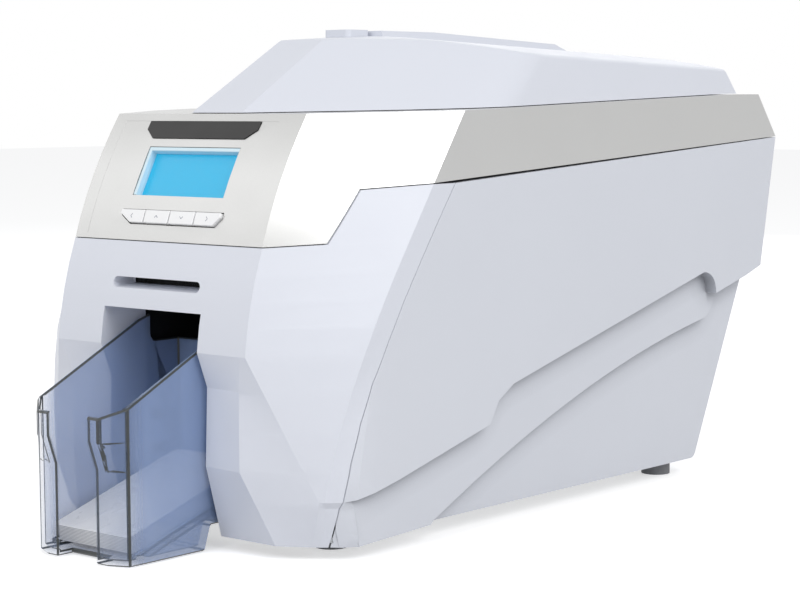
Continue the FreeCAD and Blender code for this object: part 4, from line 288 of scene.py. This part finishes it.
def stand_in(piece, node, *materials):
    """A finished piece takes its materials and its CAD node's body, and stands in for the hidden
    node.
    """
    for material in materials:
        piece.data.materials.append(material)
    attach(piece, frame["nodes"][node]["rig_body"])
    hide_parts(node)


def add_bar(shape, middle, axes, slot):
    """Adds a closed bar whose three axes are a matrix's columns, in a material slot."""
    place = Matrix.Translation(middle) @ axes.to_4x4()
    bar = bmesh.ops.create_cube(shape, size=1.0, matrix=place)
    for side in {face for corner in bar["verts"] for face in corner.link_faces}:
        side.material_index = slot


def linear(colour):
    """A colour as a screen shows it, in the linear levels that a shader takes."""
    shares = [level / 255.0 for level in colour]
    return [share / 12.92 if share <= 0.04045 else ((share + 0.055) / 1.055) ** 2.4
            for share in shares]


def shader_of(material):
    """A material's Principled shader, its node maker and its linker."""
    tree = material.node_tree
    return tree.nodes["Principled BSDF"], tree.nodes.new, tree.links.new


def graph(name):
    """A new material, with its Principled shader, its node maker and its linker."""
    material = bpy.data.materials.new(name)
    material.use_nodes = True
    return (material, *shader_of(material))


def grain_of(new, link, scale, detail=2.0, stretch=(1.0, 1.0, 1.0)):
    """Noise over the piece in its own space, stretched along an axis where asked."""
    space = new("ShaderNodeTexCoord")
    mapping = new("ShaderNodeMapping")
    mapping.inputs["Scale"].default_value = stretch
    noise = new("ShaderNodeTexNoise")
    noise.inputs["Scale"].default_value = scale
    noise.inputs["Detail"].default_value = detail
    link(space.outputs["Object"], mapping.inputs["Vector"])
    link(mapping.outputs["Vector"], noise.inputs["Vector"])
    return noise.outputs["Fac"]


def spread(new, link, value, low, high, start=NOISE_LOW, end=NOISE_HIGH):
    """Maps noise, or what runs from start to end, on to a band of values."""
    band = new("ShaderNodeMapRange")
    band.inputs["From Min"].default_value = start
    band.inputs["From Max"].default_value = end
    band.inputs["To Min"].default_value = low
    band.inputs["To Max"].default_value = high
    link(value, band.inputs["Value"])
    return band.outputs["Result"]


def tinted(new, link, value, colour, shade):
    """A colour that noise makes darker and lighter, by a small share of itself."""
    blend = new("ShaderNodeMix")
    blend.data_type = "RGBA"
    levels = linear(colour)
    blend.inputs["A"].default_value = [level * (1 - shade) for level in levels] + [1.0]
    blend.inputs["B"].default_value = [min(level * (1 + shade), 1.0) for level in levels] + [1.0]
    link(value, blend.inputs["Factor"])
    return blend.outputs["Result"]


def raised(new, link, value, strength, height):
    """A surface's normal where noise raises a fine relief on it."""
    bump = new("ShaderNodeBump")
    bump.inputs["Strength"].default_value = strength
    bump.inputs["Distance"].default_value = height
    link(value, bump.inputs["Height"])
    return bump.outputs["Normal"]


def moulded(name, colour, rough=0.42, relief=0.05):
    """Moulded plastic or rubber: mould grain, faint flow shading and uneven gloss."""
    material, shader, new, link = graph(name)
    flow = grain_of(new, link, FLOW_SCALE, detail=3.0)
    link(tinted(new, link, flow, colour, FLOW_SHADE), shader.inputs["Base Color"])
    patches = grain_of(new, link, PATCH_SCALE)
    gloss = spread(new, link, patches, rough - PATCH_BAND, rough + PATCH_BAND)
    link(gloss, shader.inputs["Roughness"])
    grain = grain_of(new, link, GRAIN_SCALE)
    link(raised(new, link, grain, relief, GRAIN_HEIGHT), shader.inputs["Normal"])
    shader.inputs["Specular IOR Level"].default_value = PLASTIC_SHINE
    return material


front_cover = softened("front_cover", COVER_EDGE, limit=14.0, smooth=30.0)
brush = bmesh.new()
brush.from_mesh(front_cover.data)
pitch = BRUSH_WIDTH / BRISTLES
bristle_axes = Matrix.Diagonal((pitch, BRUSH_REAR - BRUSH_FRONT, BRUSH_HIGH - BRUSH_LOW))
for bristle in range(BRISTLES):
    middle = Vector((pitch * (bristle + 0.5) - BRUSH_WIDTH / 2,
                     (BRUSH_FRONT + BRUSH_REAR) / 2 + BRISTLE_STAGGER * (bristle % 2),
                     (BRUSH_LOW + BRUSH_HIGH) / 2))
    add_bar(brush, middle, bristle_axes, 1)
brush.to_mesh(front_cover.data)
brush.free()
stand_in(front_cover, "front_cover", moulded("cover_plastic", COVER_WHITE),
         moulded("slot_brush_shade", BRUSH_SHADE_BLACK, rough=0.8, relief=0.0))

# The side covers are thinner mouldings of the same plastic, painted a shade darker as
# shade for the sides, with painted shade in their ledge corners. Each has a recessed strip
# that sweeps up from the front foot, a deeper skin under it, and a small tongue that
# closes the corner against the front cover.
SIDE_WHITE_SHADED = (220, 223, 231)
SIDE_EDGE = 0.0008

# Each ledge: how far its face lies from the middle plane, and how much deeper it is set.
LEDGES = ((0.105, 0.0020), (0.099, 0.0024))

# Painted shade in a ledge's corner: its reach in metres, the least light and the darkest tone.
CORNER_REACH = 0.016
CORNER_DARK = 0.45
CORNER_TONE = 0.50
CORNER_SAMPLES = 12

# The tongue runs from its foot to its crest. Each of these ends is a triangle, whose
# corners are distances from the middle plane and depths behind the front cover's crease.
TONGUE_LOW = 0.0066
TONGUE_HIGH = 0.0180
TONGUE_FOOT = ((0.0925, 0.0286), (0.0978, 0.0322), (0.0925, 0.0330))
TONGUE_CREST = ((0.0964, 0.0286), (0.0990, 0.0310), (0.0960, 0.0330))


def painted_corner_shade(material):
    """Paints shade into a plastic's colour in the corners of its ledges, where light hardly
    comes.
    """
    shader, new, link = shader_of(material)
    colour = shader.inputs["Base Color"].links[0].from_socket
    corner = new("ShaderNodeAmbientOcclusion")
    corner.only_local = True
    corner.samples = CORNER_SAMPLES
    corner.inputs["Distance"].default_value = CORNER_REACH
    tone = spread(new, link, corner.outputs["AO"], CORNER_TONE, 1.0, CORNER_DARK, 1.0)
    darker = new("ShaderNodeMix")
    darker.data_type = "RGBA"
    darker.blend_type = "MULTIPLY"
    darker.inputs["Factor"].default_value = 1.0
    link(colour, darker.inputs["A"])
    link(tone, darker.inputs["B"])
    link(darker.outputs["Result"], shader.inputs["Base Color"])


# The side plastic is painted a shade darker than the cover's, and painted darker still in its
# ledge corners.
side_plastic_shaded = moulded("side_plastic_shaded", SIDE_WHITE_SHADED, rough=0.45)
painted_corner_shade(side_plastic_shaded)
for node, side in (("right_side_cover", 1), ("left_side_cover", -1)):
    side_cover = softened(node, SIDE_EDGE, limit=20.0, sunk=LEDGES)
    tongue = bmesh.new()
    tongue.from_mesh(side_cover.data)
    foot, crest = [[tongue.verts.new((side * x, CREASE_Y + depth, height)) for x, depth in ring]
                   for height, ring in ((TONGUE_LOW, TONGUE_FOOT), (TONGUE_HIGH, TONGUE_CREST))]
    walls = [tongue.faces.new(foot), tongue.faces.new(crest)]
    for index in range(len(foot)):
        wall = (foot[index - 1], foot[index], crest[index], crest[index - 1])
        walls.append(tongue.faces.new(wall))
    bmesh.ops.recalc_face_normals(tongue, faces=walls)
    tongue.to_mesh(side_cover.data)
    tongue.free()
    stand_in(side_cover, node, side_plastic_shaded)

# The top frame is a moulding in satin silver lacquer over a metallic base. It carries
# the display panel at the front, and its band runs round under the lid to the rear.
FRAME_EDGE = 0.0005
LACQUER = (193, 193, 192)
LACQUER_SHADE = 0.05
LACQUER_SMOOTHEST = 0.28
LACQUER_ROUGHEST = 0.33
LACQUER_METALLIC = 0.75
COAT_WEIGHT = 0.10
COAT_ROUGH = 0.25
FLAKE_SCALE = 2600.0
FLAKE_RELIEF = 0.04
FLAKE_HEIGHT = 0.0001
FILM_SCALE = 40.0


def satin_lacquer(name, colour):
    """Metallic lacquer: fine flakes that sparkle a little, and a satin clear coat."""
    material, shader, new, link = graph(name)
    flakes = grain_of(new, link, FLAKE_SCALE, detail=1.0)
    link(tinted(new, link, flakes, colour, LACQUER_SHADE), shader.inputs["Base Color"])
    film = grain_of(new, link, FILM_SCALE)
    gloss = spread(new, link, film, LACQUER_SMOOTHEST, LACQUER_ROUGHEST)
    link(gloss, shader.inputs["Roughness"])
    link(raised(new, link, flakes, FLAKE_RELIEF, FLAKE_HEIGHT), shader.inputs["Normal"])
    shader.inputs["Metallic"].default_value = LACQUER_METALLIC
    shader.inputs["Coat Weight"].default_value = COAT_WEIGHT
    shader.inputs["Coat Roughness"].default_value = COAT_ROUGH
    return material


top_frame = softened("silver_top_frame", FRAME_EDGE, limit=15.0)

# A fine raised line is moulded on the display panel. It climbs the panel's curved left
# side and runs along its top, laid on the face that lies behind each of its points.
LINE_SIDE = -0.0576
LINE_LOW = 0.1502
LINE_TOP = 0.2058
LINE_RIGHT = 0.0500
LINE_WIDTH = 0.00030
LINE_STEPS = 14

face_finder = BVHTree.FromPolygons([corner.co for corner in top_frame.data.vertices],
                                   [list(side.vertices) for side in top_frame.data.polygons])
line_stops = [(LINE_SIDE, LINE_LOW + (LINE_TOP - LINE_LOW) * step / LINE_STEPS)
              for step in range(LINE_STEPS + 1)] + [(LINE_RIGHT, LINE_TOP)]
line_path = [face_finder.ray_cast(Vector((x, cad_low.y, z)), Vector((0.0, 1.0, 0.0)))[0]
             for x, z in line_stops]
line = bmesh.new()
line.from_mesh(top_frame.data)
for before, after in zip(line_path, line_path[1:]):
    run = after - before
    rise = run.cross(Vector((0.0, -1.0, 0.0))).normalized()
    out = rise.cross(run).normalized()
    axes = Matrix((run, rise * LINE_WIDTH, out * LINE_WIDTH / 2)).transposed()
    add_bar(line, (before + after) / 2, axes, 0)
line.to_mesh(top_frame.data)
line.free()
stand_in(top_frame, "silver_top_frame", satin_lacquer("frame_lacquer", LACQUER))

# The lid is a hollow white moulding with a raised spine, and it turns on two arms at the
# rear. The release button sits in a well in the spine.
LID_WHITE = (219, 222, 231)
LID_EDGE = 0.0016
BUTTON_WHITE = (222, 225, 233)
BUTTON_EDGE = 0.0010

lid_shell = softened("lid_shell", LID_EDGE, segments=4, limit=18.0, smooth=40.0)
stand_in(lid_shell, "lid_shell", moulded("lid_plastic", LID_WHITE))
button = softened("release_button", BUTTON_EDGE)
stand_in(button, "release_button", moulded("button_plastic", BUTTON_WHITE))

# The rear panel is a flat moulding of the side covers' plastic. It has two banks of air
# slots, and the window that the socket pocket shows in.
PANEL_EDGE = 0.0005

rear_panel = softened("rear_panel", PANEL_EDGE, segments=2)
# The rear panel takes the side plastic's painted shade too.
stand_in(rear_panel, "rear_panel", side_plastic_shaded)

# The badge plate is a thin black moulding with a satin face, left bare. It is let into
# the silver panel above the display.
BADGE_BLACK = (30, 29, 29)
BADGE_EDGE = 0.0002

badge = softened("badge_plate", BADGE_EDGE, segments=2, rims=False)
stand_in(badge, "badge_plate", moulded("badge_black", BADGE_BLACK, rough=0.35, relief=0.01))

# The display is a lit liquid-crystal cell behind a clear window, both held in a pale
# moulded bezel. The cell and the window keep their CAD shape.
BEZEL_PALE = (214, 236, 246)
BEZEL_EDGE = 0.0003
LCD_BLUE = (12, 158, 198)
LCD_SHADE = 0.05
LCD_GLOW = 0.5
LCD_ROUGH = 0.3
DOT_SCALE = 1900.0
WINDOW_TINT = (120, 212, 242)
WINDOW_ALPHA = 0.05
HAZE_SCALE = 30.0
HAZE_SHADE = 0.03
HAZE_BAND = 0.04


def dress(slot, material):
    """The CAD nodes of one slot, which keep their shape, take a finish."""
    for node, piece in frame["nodes"].items():
        if SLOT_OF[node] == slot:
            piece.data.materials.clear()
            piece.data.materials.append(material)


def lit_cell(name, colour):
    """A liquid-crystal cell: an even cyan glow in fine rows and columns of dots."""
    material, shader, new, link = graph(name)
    space = new("ShaderNodeTexCoord")
    dots = new("ShaderNodeTexVoronoi")
    dots.feature = "F1"
    dots.distance = "CHEBYCHEV"
    dots.inputs["Scale"].default_value = DOT_SCALE
    dots.inputs["Randomness"].default_value = 0.0
    link(space.outputs["Object"], dots.inputs["Vector"])
    tone = spread(new, link, dots.outputs["Distance"], 0.0, 1.0)
    shade = tinted(new, link, tone, colour, LCD_SHADE)
    link(shade, shader.inputs["Base Color"])
    link(shade, shader.inputs["Emission Color"])
    shader.inputs["Emission Strength"].default_value = LCD_GLOW
    shader.inputs["Roughness"].default_value = LCD_ROUGH
    return material


def clear_sheet(name, colour, alpha, rough):
    """Clear plastic sheet, seen through, with a faint haze in it."""
    material, shader, new, link = graph(name)
    haze = grain_of(new, link, HAZE_SCALE)
    link(tinted(new, link, haze, colour, HAZE_SHADE), shader.inputs["Base Color"])
    link(spread(new, link, haze, rough, rough + HAZE_BAND), shader.inputs["Roughness"])
    shader.inputs["Alpha"].default_value = alpha
    return material


display_bezel = softened("display_bezel", BEZEL_EDGE, segments=2, rims=False)
stand_in(display_bezel, "display_bezel", moulded("bezel_plastic", BEZEL_PALE, rough=0.3))
dress("display_screen", lit_cell("lcd_cell", LCD_BLUE))
dress("display_window", clear_sheet("window_clear", WINDOW_TINT, WINDOW_ALPHA, rough=0.05))

# Four separate white keys stand in a row under the display, moulded with stems that
# press on the key board. Each has a small plain arrow printed on its face.
KEY_WHITE = (249, 249, 250)
KEY_EDGE = 0.0004
ARROW_GREY = (150, 156, 166)
ARROW_TURNS = (90.0, 0.0, 180.0, 270.0)
ARROW_REACH = 0.0011
ARROW_WIDTH = 0.00032
ARROW_LIFT = 0.00006


def print_arrow(key, degrees):
    """Adds a thin bent stroke to a key's face, turned from pointing up."""
    shape = bmesh.new()
    shape.from_mesh(key.data)
    face = max(shape.faces, key=lambda side: side.calc_area())
    out = face.normal.copy()
    low = Vector([min(corner.co[axis] for corner in face.verts) for axis in range(3)])
    high = Vector([max(corner.co[axis] for corner in face.verts) for axis in range(3)])
    middle = (low + high) / 2
    across = Vector((1.0, 0.0, 0.0))
    up = out.cross(across)
    angle = math.radians(degrees)
    point_way = up * math.cos(angle) - across * math.sin(angle)
    side_way = across * math.cos(angle) + up * math.sin(angle)
    tip = middle + point_way * ARROW_REACH / 2
    for side in (-1, 1):
        run = side_way * side * ARROW_REACH - point_way * ARROW_REACH
        aside = out.cross(run).normalized() * ARROW_WIDTH
        axes = Matrix((run, aside, out * ARROW_LIFT * 2)).transposed()
        add_bar(shape, tip + run / 2, axes, 1)
    shape.to_mesh(key.data)
    shape.free()


key_plastic = moulded("key_plastic", KEY_WHITE, rough=0.32)
arrow_ink = moulded("arrow_ink", ARROW_GREY, rough=0.5, relief=0.0)
for number, degrees in enumerate(ARROW_TURNS, start=1):
    key = softened(f"menu_key_{number}", KEY_EDGE, rims=False)
    print_arrow(key, degrees)
    stand_in(key, f"menu_key_{number}", key_plastic, arrow_ink)

# The card tray is injected in clear smoke-blue plastic 2 mm thick. Its cut edges gather the
# light's tint and look nearly black, so that shade is painted on them as a near-black finish
# of their own, and on its folds too. The tint is fainter in the posts at its mouth.
SMOKE = (156, 178, 218)
SMOKE_THIN = 0.10
SMOKE_FULL = 0.50
SMOKE_THIN_Y = cad_low.y + 0.0050
SMOKE_FULL_Y = cad_low.y + 0.0225
SMOKE_IOR = 1.6
TRAY_EDGE_SHADE = (50, 54, 54)
TRAY_EDGE_ALPHA = 0.96
TRAY_EDGE_WIDEST = 0.0026
TRAY_FOLD = 0.0008
TRAY_FOLD_ANGLE = math.radians(32.0)


def tinted_sheet(name, colour):
    """Clear sheet whose smoke tint grows from the tray's mouth to its walls."""
    material = clear_sheet(name, colour, SMOKE_FULL, rough=0.04)
    shader, new, link = shader_of(material)
    space = new("ShaderNodeTexCoord")
    apart = new("ShaderNodeSeparateXYZ")
    link(space.outputs["Object"], apart.inputs["Vector"])
    fade = spread(new, link, apart.outputs["Y"], SMOKE_THIN, SMOKE_FULL,
                  SMOKE_THIN_Y, SMOKE_FULL_Y)
    fade.node.interpolation_type = "SMOOTHSTEP"
    link(fade, shader.inputs["Alpha"])
    shader.inputs["IOR"].default_value = SMOKE_IOR
    return material


tray = merged_copy("card_tray")
tray.data.materials.append(tinted_sheet("tray_clear", SMOKE))
tray.data.materials.append(clear_sheet("tray_edge_shade", TRAY_EDGE_SHADE, TRAY_EDGE_ALPHA, rough=0.30))
# Painted shade: the thin cut-edge faces take the near-black edge finish.
for face in tray.data.polygons:
    corners = [tray.data.vertices[index].co for index in face.vertices]
    longest = max((a - b).length for a, b in zip(corners, corners[1:] + corners[:1]))
    thin = face.area / longest < TRAY_EDGE_WIDEST
    face.material_index = 1 if thin and longest > TRAY_EDGE_WIDEST * 2 else 0
# Painted shade: a narrow near-black bevel is laid along each fold.
folds = tray.modifiers.new("painted_shade_folds", "BEVEL")
folds.width = TRAY_FOLD
folds.segments = 1
folds.material = 1
folds.use_clamp_overlap = False
folds.limit_method = "ANGLE"
folds.angle_limit = TRAY_FOLD_ANGLE
bpy.ops.object.modifier_apply(modifier=folds.name)
stand_in(tray, "card_tray")

# The blank cards lie in a stack on the tray's ribs. Each is laminated from white plastic
# sheet, and its greyer core shows along its cut edges.
CARD_WHITE = (240, 241, 244)
CARD_CORE = (178, 181, 188)
CARD_EDGE = 0.00016
CARD_SIDE_SHARE = 0.2

cards = softened("card_stack", CARD_EDGE, segments=1, rims=False)
card_face = max(cards.data.polygons, key=lambda side: side.area).normal.copy()
for side in cards.data.polygons:
    side.material_index = 1 if abs(side.normal.dot(card_face)) < CARD_SIDE_SHARE else 0
stand_in(cards, "card_stack", moulded("card_laminate", CARD_WHITE, rough=0.28, relief=0.0),
         moulded("card_core", CARD_CORE, rough=0.5, relief=0.0))

# The chute behind the card bay is one matt black moulding, with a window at its back for
# the pick roller. Its ears reach out to the chassis plates.
CHUTE_BLACK = (14, 14, 16)

dress("bay_black", moulded("bay_black", CHUTE_BLACK, rough=0.6))

# The base plate is folded from plated sheet steel, and four round feet of grey rubber
# stand under it. The socket pocket is a darker pressing, let into the rear panel.
BASE_GREY = (168, 170, 172)
FOOT_GREY = (146, 147, 151)
POCKET_GREY = (96, 98, 102)

# Metal is drawn or rolled in fine lines along an axis, where its noise is stretched.
METAL_SCALE = 420.0
METAL_SHADE = 0.06
METAL_METALLIC = 0.9
METAL_SMOOTHER = 0.05
METAL_ROUGHER = 0.07
LINES_ALONG_X = (0.05, 1.0, 1.0)
LINES_ALONG_Y = (1.0, 0.05, 1.0)


def brushed(name, colour, rough, lines):
    """Bare or plated metal with fine drawn lines along one axis."""
    material, shader, new, link = graph(name)
    drawn = grain_of(new, link, METAL_SCALE, detail=3.0, stretch=lines)
    link(tinted(new, link, drawn, colour, METAL_SHADE), shader.inputs["Base Color"])
    gloss = spread(new, link, drawn, rough - METAL_SMOOTHER, rough + METAL_ROUGHER)
    link(gloss, shader.inputs["Roughness"])
    shader.inputs["Metallic"].default_value = METAL_METALLIC
    return material


dress("base_steel", brushed("base_steel", BASE_GREY, rough=0.42, lines=LINES_ALONG_Y))
dress("foot_rubber", moulded("foot_rubber", FOOT_GREY, rough=0.75, relief=0.1))
dress("socket_plate", brushed("socket_plate", POCKET_GREY, rough=0.45, lines=LINES_ALONG_X))

# The chassis is two plates of bright sheet steel on angle brackets, and the lid's hinge
# brackets match it. The cross bars, hinge pins, studs, shafts and screws are turned from
# steel rod, and the shafts run in cream plastic bushes.
SHEET_BRIGHT = (186, 188, 190)
ROD_BRIGHT = (204, 204, 206)
BUSH_CREAM = (214, 210, 196)

dress("chassis_steel", brushed("chassis_steel", SHEET_BRIGHT, rough=0.36, lines=LINES_ALONG_Y))
dress("shaft_steel", brushed("shaft_steel", ROD_BRIGHT, rough=0.22, lines=LINES_ALONG_X))
dress("bush_plastic", moulded("bush_plastic", BUSH_CREAM, rough=0.4))

# The pick, feed, platen and rear rollers have sleeves of black rubber, and the cleaner
# roller has one of tacky blue rubber.
ROLLER_BLACK = (46, 46, 48)
CLEANER_BLUE = (120, 150, 182)

dress("roller_rubber", moulded("roller_rubber", ROLLER_BLACK, rough=0.7))
dress("cleaning_rubber", moulded("cleaning_rubber", CLEANER_BLUE, rough=0.25))

# The gears are moulded in cream plastic that runs dry. The motor has a dark metal case,
# and drives them through a pinion cut from brass.
GEAR_CREAM = (222, 219, 206)
BRASS = (206, 176, 112)
MOTOR_GREY = (70, 71, 74)

dress("gear_plastic", moulded("gear_plastic", GEAR_CREAM, rough=0.38))
dress("pinion_brass", brushed("pinion_brass", BRASS, rough=0.25, lines=LINES_ALONG_X))
dress("motor_metal", brushed("motor_metal", MOTOR_GREY, rough=0.4, lines=LINES_ALONG_X))

# The ribbon is a glossy dark film, wound on two spools. The print head over it is built
# on an aluminium bar.
FILM_PURPLE = (34, 26, 42)
ALUMINIUM = (196, 197, 200)

dress("ribbon_dark", moulded("ribbon_dark", FILM_PURPLE, rough=0.16, relief=0.0))
dress("head_aluminium", brushed("head_aluminium", ALUMINIUM, rough=0.3, lines=LINES_ALONG_X))

# The latch hook, the card guide rails, the head's carrier, the power inlet and the power
# switch's housing are moulded in dark grey plastic, and the switch's rocker in black.
PLASTIC_GREY = (40, 41, 44)
ROCKER_BLACK = (30, 30, 32)

dress("dark_plastic", moulded("dark_plastic", PLASTIC_GREY, rough=0.5))
dress("rocker_plastic", moulded("rocker_plastic", ROCKER_BLACK, rough=0.3))

# The main board and the key board are green glass-fibre laminate. The shells of the two
# data sockets are bent from plated sheet.
BOARD_GREEN = (24, 84, 52)
PLATED_SHEET = (196, 197, 198)

dress("circuit_board", moulded("circuit_board", BOARD_GREEN, rough=0.34))
dress("socket_metal", brushed("socket_metal", PLATED_SHEET, rough=0.3, lines=LINES_ALONG_Y))

bpy.context.scene.view_settings.view_transform = "Standard"
